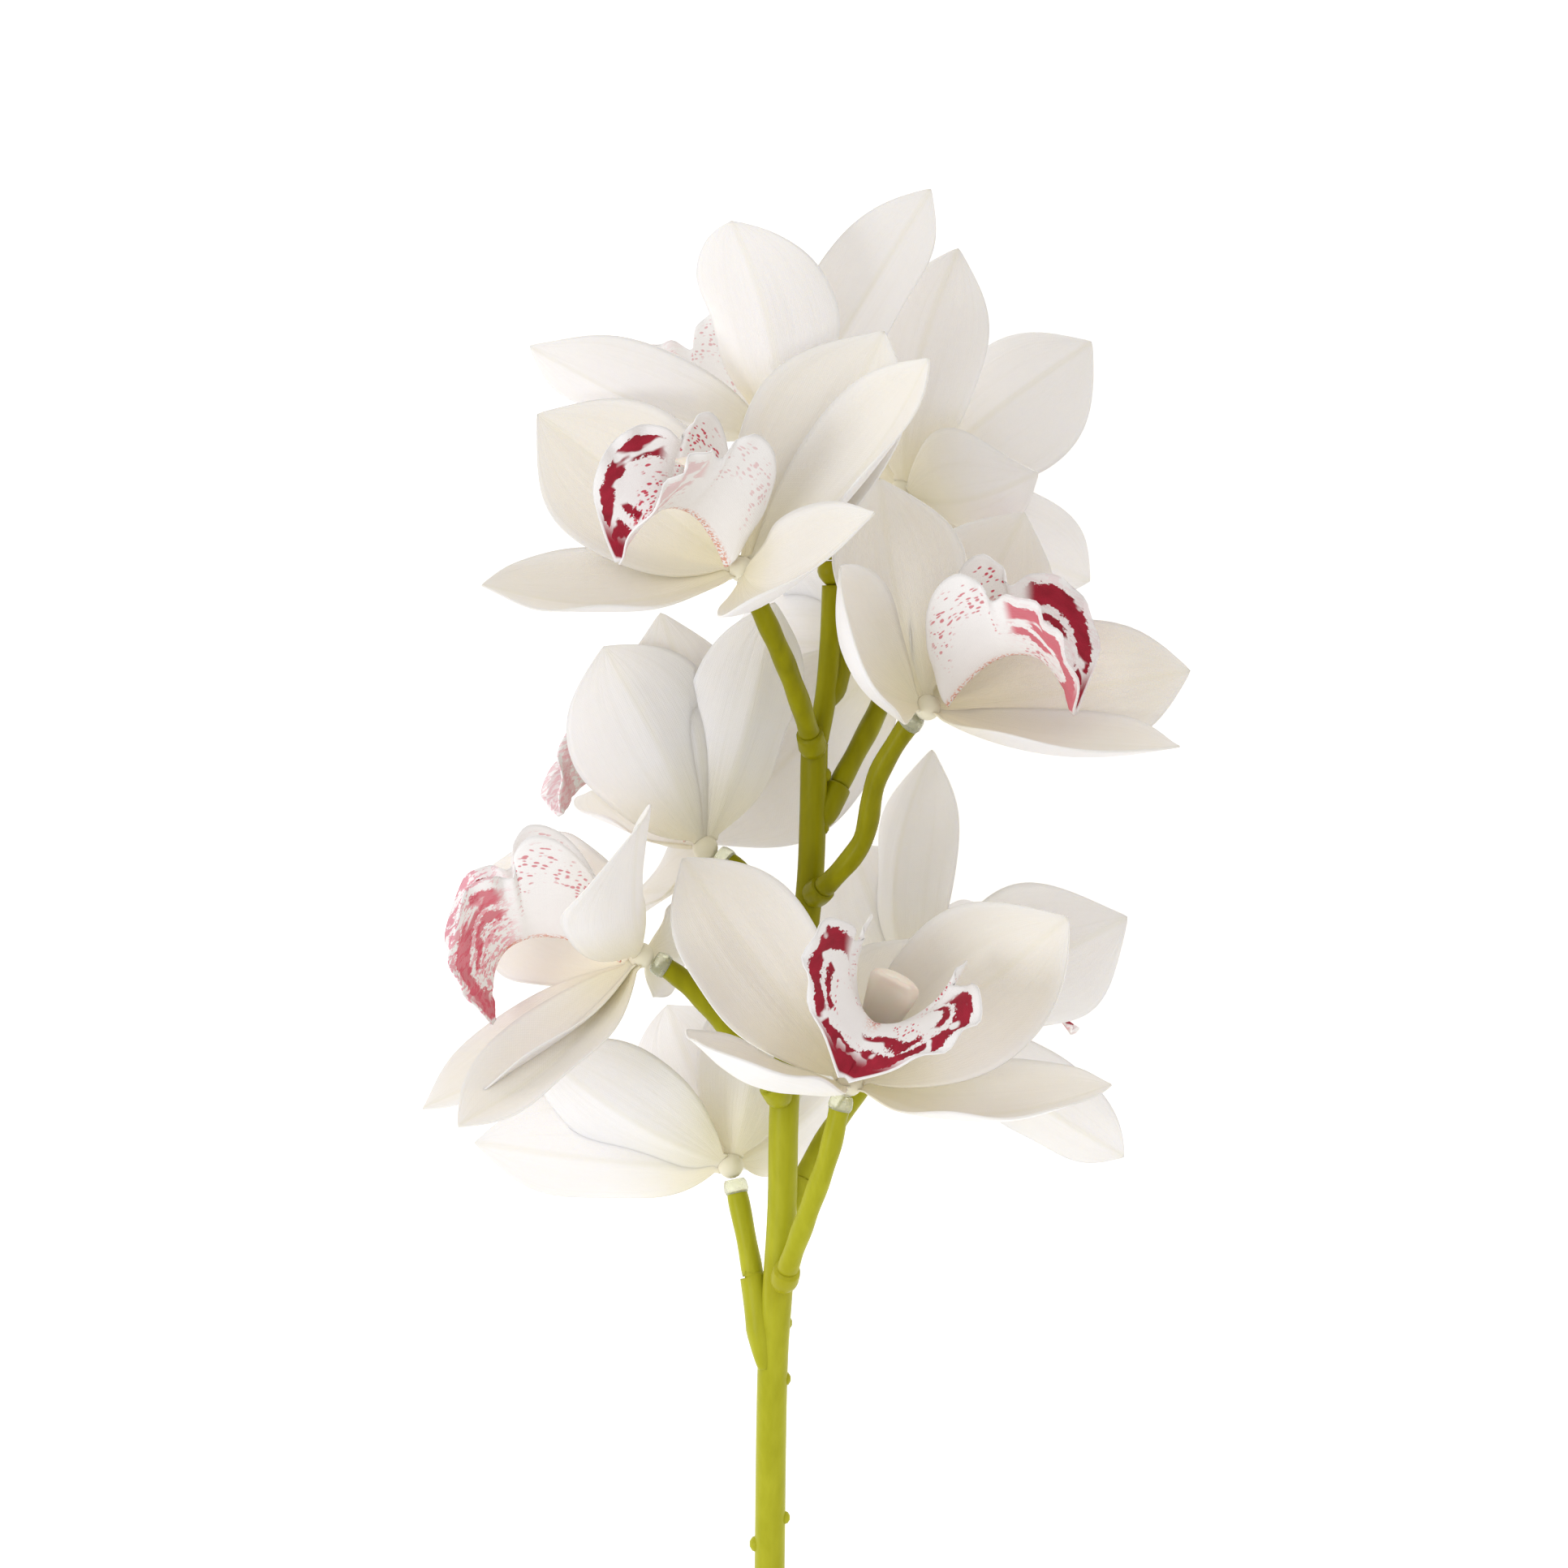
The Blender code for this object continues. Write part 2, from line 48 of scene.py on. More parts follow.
# Each bloom: centre, lip (forward, upward, size, how widely it opens) and tepals.
# Each tepal: tip from the centre, width, bow, cup in degrees, where its inner face looks,
# sideways bend, and how blunt its tip is.
blooms = {
    "A": {
        "centre": (-9.2, 221.2, 94.0),
        "lip": ((-0.78, 0.12, 0.6), (0.3, 0.94, 0.12), 1.0),
        "tepals": [
            ((-45.5, 34.7, -8.0), 38, -4.0, 30, (0.1, 0.0, 1.0)),
            ((31.1, 53.1, -6.0), 38, -5.0, 35, (-0.3, 0.1, 1.0)),
            ((40.0, 46.8, 18.0), 35, -6.0, 45, (-0.6, 0.5, 0.5)),
            ((-57.2, -2.3, 14.0), 31, -6.5, 40, (0.0, 0.8, 0.45)),
            ((28.0, 12.8, 42.0), 36, -1.0, 45, (-0.69, 0.66, 0.3), 13.0),
        ],
    },
    "B": {
        "centre": (31.7, 190.8, 88.0),
        "lip": ((0.95, 0.04, 0.3), (-0.1, 0.97, 0.22), 1.0),
        "tepals": [
            ((-18.0, 31.0, 34.0), 40, -8.0, 50, (0.8, 0.25, 0.3), -4.0),
            ((-10.3, 50.8, 0.0), 34, -5.0, 35, (0.3, 0.0, 1.0)),
            ((22.1, 43.9, -20.0), 34, -5.0, 30, (0.1, 0.1, 1.0)),
            ((58.5, 8.5, -8.0), 31, -4.0, 30, (0.0, 0.2, 1.0)),
            ((55.4, -7.2, 20.0), 35, -6.0, 35, (-0.1, 1.0, 0.2)),
        ],
    },
    "C": {
        "centre": (-31.7, 135.9, 76.0),
        "lip": ((-0.93, -0.33, 0.0), (-0.33, 0.92, 0.12), 1.08),
        "tepals": [
            ((-1.3, 29.7, 46.0), 36, -1.0, 60, (-0.83, 0.45, -0.31), 4.0, 2.2),
            ((-40.5, -36.5, 24.0), 27, -5.0, 35, (-0.35, 0.7, 0.7), 0.0, 1.0),
            ((-49.0, -32.9, 4.0), 30, -4.0, 35, (-0.4, 0.8, 0.4)),
            ((-37.8, 17.8, -40.0), 38, -5.0, 30, (0.0, 0.0, 1.0)),
            ((9.0, 2.0, -54.0), 24, -4.0, 30, (-1.0, 0.2, 0.0)),
        ],
    },
    "D": {
        "centre": (-17.6, 159.7, 50.0),
        "lip": ((-0.95, 0.29, 0.13), (0.15, 0.77, -0.63), 1.0),
        "tepals": [
            ((-23.0, 45.0, 14.0), 38, -5.0, 35, (-0.2, -0.1, -1.0), 0.0, 2.0),
            ((14.8, 54.9, 2.0), 29, -4.0, 35, (-0.45, 0.1, -0.9)),
            ((-10.8, 52.2, 4.0), 35, -6.0, 40, (-0.5, 0.1, -0.8)),
            ((-17.0, -10.0, -36.0), 26, -4.0, 35, (-0.8, 0.3, -0.3)),
            ((-26.0, 14.0, -49.3), 26, -4.0, 35, (-0.3, 0.6, -0.5)),
        ],
    },
    "E": {
        "centre": (25.9, 205.6, 38.0),
        "lip": ((0.78, 0.6, -0.16), (0.47, -0.39, 0.79), 0.95),
        "tepals": [
            ((-43.5, -44.5, -22.0), 39, -3.0, 30, (0.0, 0.1, -1.0)),
            ((-22.0, 34.0, -30.0), 34, -4.0, 30, (0.4, -0.4, -1.0)),
            ((34.0, -6.0, -32.0), 34, -4.0, 30, (-0.4, 0.0, -1.0)),
            ((-38.0, 0.0, -32.0), 32, -4.0, 30, (0.4, 0.0, -1.0)),
            ((10.0, -6.0, -37.8), 30, -4.0, 30, (0.2, 0.5, -0.3)),
        ],
    },
    "F": {
        "centre": (-2.0, 251.0, 64.0),
        "lip": ((-0.84, -0.22, -0.5), (0.06, 0.87, -0.49), 0.97),
        "tepals": [
            ((-9.5, 48.0, 26.0), 32, -6.0, 40, (0.1, 0.5, -0.85), -5.0, 2.6),
            ((-54.0, 21.0, 20.0), 30, -5.0, 30, (-0.1, 0.85, -0.5), -1.0),
            ((0.0, 38.0, -46.0), 26, -4.0, 30, (-0.3, -0.2, -0.8)),
            ((34.0, 55.5, 4.0), 25, -3.0, 30, (-0.4, 0.2, -0.9), 1.0, 1.0),
            ((-4.0, -22.0, -46.0), 28, -4.0, 30, (-0.3, 0.6, -0.3)),
        ],
    },
    "G": {
        "centre": (26.5, 239.4, 34.0),
        "lip": ((0.45, -0.4, -0.8), (0.3, 0.91, -0.28), 0.8),
        "tepals": [
            ((13.0, 54.3, 10.0), 29, -5.0, 40, (0.3, 0.0, -0.9), 1.5, 1.1),
            ((42.6, 33.3, -16.0), 35.1, -4.0, 35, (0.2, -0.2, -1.0)),
            ((30.6, 4.9, 16.0), 36, -6.0, 40, (0.3, 0.6, -0.6)),
            ((41.9, -19.0, -30.0), 28, -4.0, 35, (0.1, 0.2, -1.0)),
            ((-14.4, 33.4, -30.5), 31, -4.5, 30, (0.3, -0.2, -1.0)),
        ],
    },
    "H": {
        "centre": (-11.9, 88.6, 45.0),
        "lip": ((-0.71, 0.02, -0.7), (0.66, 0.37, -0.66), 0.7),
        "tepals": [
            ((-43.2, 27.5, 12.0), 30, -5.0, 35, (0.1, 0.5, -0.8)),
            ((-57.1, 5.8, -8.0), 32, -4.0, 35, (0.0, 0.5, -0.85), -1.0, 1.0),
            ((-14.0, 34.2, -42.0), 32, -4.0, 30, (0.1, -0.2, -1.0)),
            ((27.0, 24.0, -36.0), 32, -4.0, 35, (-0.5, 0.3, -0.8)),
            ((9.0, 42.0, -6.0), 28, -4.0, 30, (-0.2, -0.1, -1.0)),
        ],
    },
    "I": {
        "centre": (14.6, 107.5, 76.0),
        "lip": ((0.0, 0.12, 0.98), (0.44, 0.89, -0.1), 1.08, 1.45),
        "tepals": [
            ((-36.7, 49.9, 12.0), 32, -4.0, 30, (0.2, 0.0, 1.0)),
            ((-33.7, 11.7, 46.0), 33, -6.0, 40, (0.3, 1.0, 0.2)),
            ((47.9, 36.9, 10.0), 39, -5.0, 35, (-0.2, 0.1, 1.0)),
            ((57.6, 1.3, 14.0), 34, -7.5, 35, (-0.1, 0.85, 0.35)),
            ((16.4, 32.4, -20.0), 30, -3.0, 30, (0.0, -0.2, 1.0)),
        ],
    },
    "J": {
        "centre": (29.5, 123.7, 36.0),
        "lip": ((1.0, -0.05, -0.08), (-0.04, 0.51, -0.86), 1.0),
        "tepals": [
            ((4.9, 57.6, -6.0), 30, -4.0, 35, (0.7, 0.0, -0.6), 5.0),
            ((-14.0, 36.0, -30.0), 34, -4.0, 30, (0.2, -0.2, -1.0)),
            ((47.3, 21.1, 16.0), 38, -6.0, 35, (0.0, 0.3, -1.0)),
            ((47.0, -32.8, -6.0), 23, -4.0, 35, (0.0, 0.5, -0.9)),
            ((30.0, -14.0, -34.0), 26, -4.0, 35, (0.4, 0.5, -0.4)),
        ],
    },
}

# Centre line of the main stem with its radius, and of each pedicel up to its bloom.
stemLine = [
    (-3.6, -110.0, 3.6, 3.6), (-3.6, -80.0, 5.5, 3.5), (-3.5, -40.0, 15.0, 3.4), (-3.2, 0.0, 28.5, 3.4),
    (-2.6, 41.8, 43.5, 3.4), (-1.4, 61.6, 50.0, 3.4), (-0.4, 79.6, 54.8, 3.3), (0.2, 104.8, 59.5, 3.3),
    (3.0, 128.0, 61.5, 3.1), (5.6, 149.8, 62.5, 3.0), (6.4, 166.0, 63.0, 3.0), (6.8, 182.0, 63.0, 3.0),
    (7.6, 184.6, 63.0, 2.5), (9.2, 193.0, 62.5, 2.4), (10.2, 205.0, 62.0, 2.3), (10.6, 218.0, 61.5, 2.2),
]
pedicels = {
    "H": [(-4.6, 43.0, 46.5), (-5.6, 55.0, 46.8), (-7.6, 68.0, 46.5), (-11.0, 85.0, 45.5)],
    "I": [(-0.6, 61.0, 53.0), (1.5, 68.0, 60.0), (5.5, 79.0, 67.0), (10.0, 92.0, 73.0), (12.8, 104.0, 75.5)],
    "J": [(0.6, 78.0, 54.0), (7.0, 91.0, 47.0), (16.0, 104.5, 41.0), (25.5, 118.5, 37.5)],
    "C": [(0.0, 103.0, 60.0), (-4.0, 108.5, 67.0), (-14.5, 122.0, 72.5), (-22.0, 130.0, 74.5),
          (-28.0, 134.3, 75.5)],
    "D": [(6.0, 131.0, 61.5), (-1.0, 143.0, 57.0), (-8.0, 152.5, 52.5), (-14.5, 158.0, 50.5)],
    "B": [(5.6, 148.5, 63.0), (10.0, 152.0, 70.0), (17.5, 161.5, 76.0), (20.5, 175.0, 81.0),
          (27.5, 187.0, 86.0)],
    "E": [(6.6, 163.0, 63.0), (14.0, 177.0, 58.5), (21.0, 190.5, 51.5), (25.0, 202.0, 47.0)],
    "A": [(6.9, 180.0, 64.0), (4.5, 189.0, 72.0), (0.5, 200.0, 80.0), (-4.0, 210.0, 87.0),
          (-8.0, 218.5, 91.0)],
    "F": [(10.6, 218.0, 61.5), (10.0, 230.0, 62.0), (6.0, 240.5, 63.0), (2.0, 246.5, 63.7)],
    "G": [(9.6, 191.0, 62.3), (13.0, 203.0, 57.0), (18.0, 218.0, 48.0), (23.5, 231.8, 39.0)],
}

# Small moulding nubs on the stem: place on its side, size.
stemNubs = [
    ((0.4, 53.5, 46.0), 1.5), ((0.2, 40.9, 43.0), 1.4), ((0.1, 9.4, 32.0), 1.3), ((1.6, 82.3, 55.0), 1.5),
    ((8.7, 164.2, 63.0), 1.4), ((9.2, 175.9, 63.0), 1.4), ((-6.2, 3.4, 29.5), 1.6),
]

# Lip outline: middle line and margin as (forward, upward), half width, for each row from root to tip.
lipKeel = [(0.0, 0.0), (3.2, 3.6), (6.8, 6.7), (9.6, 8.8), (12.2, 10.1), (14.6, 10.9), (17.0, 11.2),
           (19.4, 11.0), (21.8, 10.2), (24.2, 8.2), (26.2, 5.0), (27.4, 1.5), (28.2, -2.5)]
lipMargin = [(-0.5, 3.5), (-1.0, 13.0), (0.0, 22.0), (3.5, 29.0), (8.5, 32.0), (13.0, 29.5), (15.0, 25.0),
             (19.5, 27.0), (25.5, 25.5), (30.5, 19.0), (33.0, 10.5), (31.5, 3.0), (29.2, -3.2)]
lipSpread = [2.2, 6.0, 9.0, 10.0, 9.5, 8.5, 8.0, 9.5, 12.0, 13.0, 10.5, 5.5, 0.8]
columnLine = [(0.5, 7.0), (4.5, 12.5), (9.0, 17.5), (14.0, 20.8), (18.5, 21.0)]
columnWidths = [2.0, 3.7, 4.9, 5.4, 3.6]
columnDepths = [1.8, 2.1, 2.2, 2.0, 1.2]


# Curves and sheets

def smoothLine(points, steps):
    result = []
    last = len(points) - 1
    for k in range(last):
        a = points[max(k - 1, 0)]
        b = points[k]
        c = points[k + 1]
        d = points[min(k + 2, last)]
        for j in range(steps):
            t = j / steps
            result.append(0.5 * ((2.0 * b) + (c - a) * t + (2.0 * a - 5.0 * b + 4.0 * c - d) * t * t
                                 + (3.0 * b - a - 3.0 * c + d) * t ** 3))
    result.append(points[last].copy())
    return result


def lineLength(points):
    return sum((points[k + 1] - points[k]).length for k in range(len(points) - 1))


def cutLine(points, begin, end):
    result = []
    walked = 0.0
    for k in range(len(points) - 1):
        a = points[k]
        b = points[k + 1]
        step = (b - a).length
        if walked <= begin < walked + step:
            result.append(a.lerp(b, (begin - walked) / step))
        elif begin < walked < end:
            result.append(a.copy())
        if walked <= end <= walked + step:
            result.append(a.lerp(b, (end - walked) / step))
            break
        walked += step
    return result


def distanceToSegment(spot, a, b):
    start = Vector(a[:3])
    reach = Vector(b[:3]) - start
    t = max(0.0, min(1.0, (spot - start).dot(reach) / reach.length_squared))
    return (spot - start - reach * t).length - 0.5 * (a[3] + b[3])


def clearOfStem(path, clearance):
    total = lineLength(path)
    walked = 0.0
    while walked < total:
        spot = cutLine(path, 0.0, walked + 0.01)[-1]
        near = min(distanceToSegment(spot, stemLine[k], stemLine[k + 1]) for k in range(len(stemLine) - 1))
        if near > clearance:
            return walked
        walked += 0.5
    return total


def addSheet(bm, layers, rows, columns, pointAt, seed, wave, inking=None):
    # one sheet of cloth: a grid laid along pointAt(s, v), then waved along its own normal.
    # s runs from root to tip and v from one edge to the other; rim is the distance to the nearest edge
    made = bmesh.ops.create_grid(bm, x_segments=columns, y_segments=rows, size=0.5)
    grid = [[None] * (columns + 1) for k in range(rows + 1)]
    for vert in made["verts"]:
        row = round((vert.co.y + 0.5) * rows)
        column = round((vert.co.x + 0.5) * columns)
        grid[row][column] = vert
    for row in range(rows + 1):
        for column in range(columns + 1):
            grid[row][column].co = pointAt(row / rows, 2.0 * column / columns - 1.0)
    faces = list({face for vert in made["verts"] for face in vert.link_faces})
    for face in faces:
        face.normal_update()
    for vert in made["verts"]:
        vert.normal_update()
    middle = columns // 2
    along = [0.0]
    for row in range(rows):
        along.append(along[-1] + (grid[row + 1][middle].co - grid[row][middle].co).length)
    moves = []
    for row in range(rows + 1):
        across = [0.0] * (columns + 1)
        for column in range(middle, columns):
            across[column + 1] = across[column] + (grid[row][column + 1].co - grid[row][column].co).length
        for column in range(middle, 0, -1):
            across[column - 1] = across[column] - (grid[row][column].co - grid[row][column - 1].co).length
        for column in range(columns + 1):
            vert = grid[row][column]
            v = 2.0 * column / columns - 1.0
            edge = across[columns] if v >= 0 else -across[0]
            rim = min(edge - abs(across[column]), along[-1] - along[row])
            vert[layers[0]] = (across[column], along[row], rim)
            vert[layers[1]] = (v, row / rows, seed)
            if inking is not None:
                vert[layers[2]] = inking
            moves.append((vert, vert.normal * wave(row / rows, v, rim)))
    for vert, move in moves:
        vert.co += move
    return faces


def placeRing(ring, flat, point, direction, turn, radius, across, depth):
    for vert in ring:
        if across is None:
            vert.co = point + turn @ (flat[vert] * radius)
        else:
            over = direction.cross(across)
            vert.co = point + across * flat[vert].x * radius + over * flat[vert].y * depth


def nearestOn(line, spot):
    return min(line, key=lambda point: (point - spot).length_squared)


def addTube(bm, points, radii, sides, across=None, depths=None):
    # a closed tube; with across it is flattened, radii wide and depths thick
    last = len(points) - 1
    directions = []
    for k in range(last + 1):
        before = points[max(k - 1, 0)]
        after = points[min(k + 1, last)]
        directions.append((after - before).normalized())
    ring = bmesh.ops.create_circle(bm, cap_ends=True, segments=sides, radius=1.0)["verts"]
    flat = {vert: vert.co.copy() for vert in ring}
    loop = list({edge for vert in ring for edge in vert.link_edges})
    turn = Vector((0, 0, 1)).rotation_difference(directions[0])
    placeRing(ring, flat, points[0], directions[0], turn, radii[0], across, depths[0] if depths else None)
    for k in range(1, last + 1):
        turn = directions[k - 1].rotation_difference(directions[k]) @ turn
        before = {tuple(round(value, 4) for value in vert.co): flat[vert] for vert in ring}
        extruded = bmesh.ops.extrude_edge_only(bm, edges=loop)
        ring = [item for item in extruded["geom"] if isinstance(item, bmesh.types.BMVert)]
        loop = [item for item in extruded["geom"] if isinstance(item, bmesh.types.BMEdge)]
        flat = {vert: before[tuple(round(value, 4) for value in vert.co)] for vert in ring}
        placeRing(ring, flat, points[k], directions[k], turn, radii[k], across, depths[k] if depths else None)
    bmesh.ops.contextual_create(bm, geom=loop)


def addBall(bm, centre, radii, detail):
    made = bmesh.ops.create_icosphere(bm, subdivisions=detail, radius=1.0)
    for vert in made["verts"]:
        vert.co = centre + Vector((vert.co.x * radii[0], vert.co.y * radii[1], vert.co.z * radii[2]))
    return made["verts"]


def finishPiece(name, bm, materials, node, thickness=None, orient=True):
    for vert in bm.verts:
        vert.co = (vert.co + shift) * mm
    if orient:
        bmesh.ops.recalc_face_normals(bm, faces=bm.faces)
    for face in bm.faces:
        face.smooth = True
    mesh = bpy.data.meshes.new(name)
    bm.to_mesh(mesh)
    bm.free()
    for material in materials:
        mesh.materials.append(material)
    piece = bpy.data.objects.new(name, mesh)
    bpy.context.scene.collection.objects.link(piece)
    if thickness is not None:
        solid = piece.modifiers.new("cloth thickness", "SOLIDIFY")
        solid.thickness = thickness * mm
        solid.offset = 0.0
        solid.material_offset = len(materials) - 1  # the last material goes on the back
    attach(piece, "root")
    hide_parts(node)
    return piece


# Node helpers

def addNode(tree, kind, **values):
    item = tree.nodes.new(kind)
    for key, value in values.items():
        setattr(item, key, value)
    return item


def setInput(tree, socket, value):
    if isinstance(value, bpy.types.NodeSocket):
        tree.links.new(value, socket)
    elif value is not None:
        socket.default_value = value


def calc(tree, operation, a, b=None, c=None):
    item = addNode(tree, "ShaderNodeMath", operation=operation)
    for socket, value in zip(item.inputs, (a, b, c)):
        setInput(tree, socket, value)
    return item.outputs[0]


def times(tree, *factors):
    result = factors[0]
    for factor in factors[1:]:
        result = calc(tree, "MULTIPLY", result, factor)
    return result


def ramp(tree, value, low, high, toLow=0.0, toHigh=1.0):
    item = addNode(tree, "ShaderNodeMapRange", interpolation_type="SMOOTHSTEP")
    for socket, entry in zip(item.inputs, (value, low, high, toLow, toHigh)):
        setInput(tree, socket, entry)
    return item.outputs[0]


def blendColor(tree, factor, a, b):
    item = addNode(tree, "ShaderNodeMix", data_type="RGBA")
    setInput(tree, item.inputs[0], factor)
    setInput(tree, item.inputs[6], a)
    setInput(tree, item.inputs[7], b)
    return item.outputs[2]


def noiseOf(tree, vector, scale, detail=2.0, rough=0.5):
    item = addNode(tree, "ShaderNodeTexNoise")
    setInput(tree, item.inputs["Vector"], vector)
    item.inputs["Scale"].default_value = scale
    item.inputs["Detail"].default_value = detail
    item.inputs["Roughness"].default_value = rough
    return item.outputs["Fac"]


def combine(tree, x, y, z):
    item = addNode(tree, "ShaderNodeCombineXYZ")
    for socket, value in zip(item.inputs, (x, y, z)):
        setInput(tree, socket, value)
    return item.outputs[0]


def separate(tree, vector):
    item = addNode(tree, "ShaderNodeSeparateXYZ")
    setInput(tree, item.inputs[0], vector)
    return item.outputs


def attribute(tree, name):
    return addNode(tree, "ShaderNodeAttribute", attribute_name=name).outputs["Vector"]


def newGroup(name, inputs, outputs):
    group = bpy.data.node_groups.new(name, "ShaderNodeTree")
    for label, kind in inputs:
        group.interface.new_socket(label, in_out="INPUT", socket_type=kind)
    for label, kind in outputs:
        group.interface.new_socket(label, in_out="OUTPUT", socket_type=kind)
    entry = group.nodes.new("NodeGroupInput")
    leave = group.nodes.new("NodeGroupOutput")
    return group, entry.outputs, leave.inputs


def placeGroup(tree, group, **values):
    item = addNode(tree, "ShaderNodeGroup", node_tree=group)
    for key, value in values.items():
        setInput(tree, item.inputs[key], value)
    return item.outputs


def newMaterial(name):
    material = bpy.data.materials.new(name)
    material.use_nodes = True
    tree = material.node_tree
    return material, tree, tree.nodes["Principled BSDF"]


def bumpOf(tree, height, strength, distance):
    item = addNode(tree, "ShaderNodeBump")
    item.inputs["Strength"].default_value = strength
    item.inputs["Distance"].default_value = distance
    setInput(tree, item.inputs["Height"], height)
    return item.outputs[0]


# Shared patterns and materials

numberSocket = "NodeSocketFloat"
vectorSocket = "NodeSocketVector"


def makeWeaveGroup():
    # satin weave from lengths in millimetres across and along the cloth
    group, entry, leave = newGroup(
        "satin weave", [("Cloth", vectorSocket), ("Pitch", numberSocket)],
        [("Height", numberSocket), ("Shade", numberSocket)])
    x, y, z = separate(group, entry["Cloth"])
    turns = calc(group, "DIVIDE", 2.0 * math.pi, entry["Pitch"])
    warp = calc(group, "SINE", times(group, x, turns))
    weft = calc(group, "SINE", times(group, y, turns))
    slub = noiseOf(group, combine(group, times(group, x, 3.0), times(group, y, 0.25), 0.0), 1.0)
    over = times(group, warp, weft)
    threads = calc(group, "ADD", over, times(group, warp, 0.5))
    group.links.new(calc(group, "MULTIPLY_ADD", threads, 0.3, slub), leave["Height"])
    group.links.new(calc(group, "MULTIPLY_ADD", over, 0.5, 0.5), leave["Shade"])
    return group


def makeBandGroup():
    # a printed line at a distance from the margin, with brushed edges
    group, entry, leave = newGroup(
        "printed band", [("Rim", numberSocket), ("Centre", numberSocket), ("Width", numberSocket),
                         ("Wander", numberSocket), ("Cloth", vectorSocket)],
        [("Mask", numberSocket)])
    slow = noiseOf(group, entry["Cloth"], 0.16, 1.0)
    teeth = noiseOf(group, entry["Cloth"], 0.8, 4.0, 0.75)
    drift = times(group, calc(group, "SUBTRACT", slow, 0.5), entry["Wander"])
    drifted = calc(group, "ADD", entry["Rim"], drift)
    away = calc(group, "ABSOLUTE", calc(group, "SUBTRACT", drifted, entry["Centre"]))
    ragged = calc(group, "MULTIPLY_ADD", calc(group, "SUBTRACT", teeth, 0.5), 4.2, away)
    reach = calc(group, "SUBTRACT", times(group, entry["Width"], 0.5), ragged)
    group.links.new(ramp(group, reach, -0.12, 0.16), leave["Mask"])
    return group


def makeDashGroup():
    # short printed dashes and dots, one in each cell
    group, entry, leave = newGroup(
        "printed dashes", [("Cloth", vectorSocket), ("Across", numberSocket), ("Along", numberSocket),
                           ("Size", numberSocket)],
        [("Mask", numberSocket)])
    x, y, z = separate(group, entry["Cloth"])
    wobble = noiseOf(group, entry["Cloth"], 0.35, 1.0)
    side = times(group, calc(group, "MULTIPLY_ADD", wobble, 1.6, x), entry["Across"])
    up = times(group, calc(group, "MULTIPLY_ADD", wobble, 1.2, y), entry["Along"])
    cells = addNode(group, "ShaderNodeTexVoronoi")
    group.links.new(combine(group, side, up, 0.0), cells.inputs["Vector"])
    cells.inputs["Scale"].default_value = 1.0
    cells.inputs["Randomness"].default_value = 0.75
    uneven = calc(group, "MULTIPLY_ADD", noiseOf(group, entry["Cloth"], 1.1, 0.0), 0.35, -0.17)
    near = calc(group, "ADD", cells.outputs["Distance"], uneven)
    outer = times(group, entry["Size"], 1.25)
    inner = times(group, entry["Size"], 0.8)
    group.links.new(ramp(group, near, outer, inner), leave["Mask"])
    return group


tepalTones = {
    # throat and throatCreamAndShadeReach: the cloth's own cream near the base, spread further out as painted
    # warm shade
    "inside": {"shade": (0.855, 0.81, 0.74, 1), "light": (0.875, 0.835, 0.78, 1),
               "throat": (0.84, 0.765, 0.52, 1), "throatCreamAndShadeReach": 34.0},
    "back": {"shade": (0.88, 0.855, 0.85, 1), "light": (0.905, 0.885, 0.885, 1),
             "throat": (0.86, 0.78, 0.55, 1), "throatCreamAndShadeReach": 32.0},
    # the midrib and vein colours are painted shade in the midrib groove and along the vein folds
    "edge": (0.87, 0.86, 0.86, 1), "midribGrooveShade": (0.74, 0.70, 0.52, 1), "veinFoldShade": (0.70, 0.66, 0.56, 1),
    "thread": (0.72, 0.70, 0.66, 1), "pitch": 0.42,
}


def makeTepalSatin(name, weave, tones):
    material, tree, surface = newMaterial(name)
    cloth = attribute(tree, "cloth")
    across, along, rim = separate(tree, cloth)
    v, s, seed = separate(tree, attribute(tree, "place"))
    thread = placeGroup(tree, weave, Cloth=cloth, Pitch=tepalTones["pitch"])
    fan = combine(tree, times(tree, v, 9.0), times(tree, s, 1.2), seed)
    veins = noiseOf(tree, fan, 1.0, 3.0, 0.6)
    slow = combine(tree, times(tree, across, 0.05), times(tree, along, 0.05), seed)
    cloud = noiseOf(tree, slow, 1.0, 2.0)
    # cream throat near the base: partly the cloth's own tint, partly painted warm shade
    throat = ramp(tree, calc(tree, "MULTIPLY_ADD", cloud, 10.0, along), tones["throatCreamAndShadeReach"], 3.0)
    midribGrooveShade = ramp(tree, calc(tree, "ABSOLUTE", across), 1.3, 0.1)
    white = blendColor(tree, cloud, tones["shade"], tones["light"])
    edged = blendColor(tree, ramp(tree, rim, 5.0, 0.0, 0.0, 0.45), white, tepalTones["edge"])
    warm = blendColor(tree, times(tree, throat, 0.8), edged, tones["throat"])
    # painted shade: darker in the midrib groove and along the vein folds
    midribShaded = blendColor(tree, times(tree, midribGrooveShade, 0.18), warm, tepalTones["midribGrooveShade"])
    veinShaded = blendColor(tree, ramp(tree, veins, 0.5, 0.75, 0.0, 0.12), midribShaded, tepalTones["veinFoldShade"])
    color = blendColor(tree, times(tree, thread["Shade"], 0.06), veinShaded, tepalTones["thread"])
    tree.links.new(color, surface.inputs["Base Color"])
    tree.links.new(calc(tree, "MULTIPLY_ADD", thread["Shade"], 0.12, 0.5), surface.inputs["Roughness"])
    height = calc(tree, "MULTIPLY_ADD", veins, 2.2, times(tree, thread["Height"], 0.35))
    tree.links.new(bumpOf(tree, height, 0.35, 0.0003), surface.inputs["Normal"])
    surface.inputs["Sheen Weight"].default_value = 0.15
    surface.inputs["Subsurface Weight"].default_value = 0.3
    surface.inputs["Subsurface Radius"].default_value = (1.0, 0.85, 0.6)
    surface.inputs["Subsurface Scale"].default_value = 0.0015
    return material


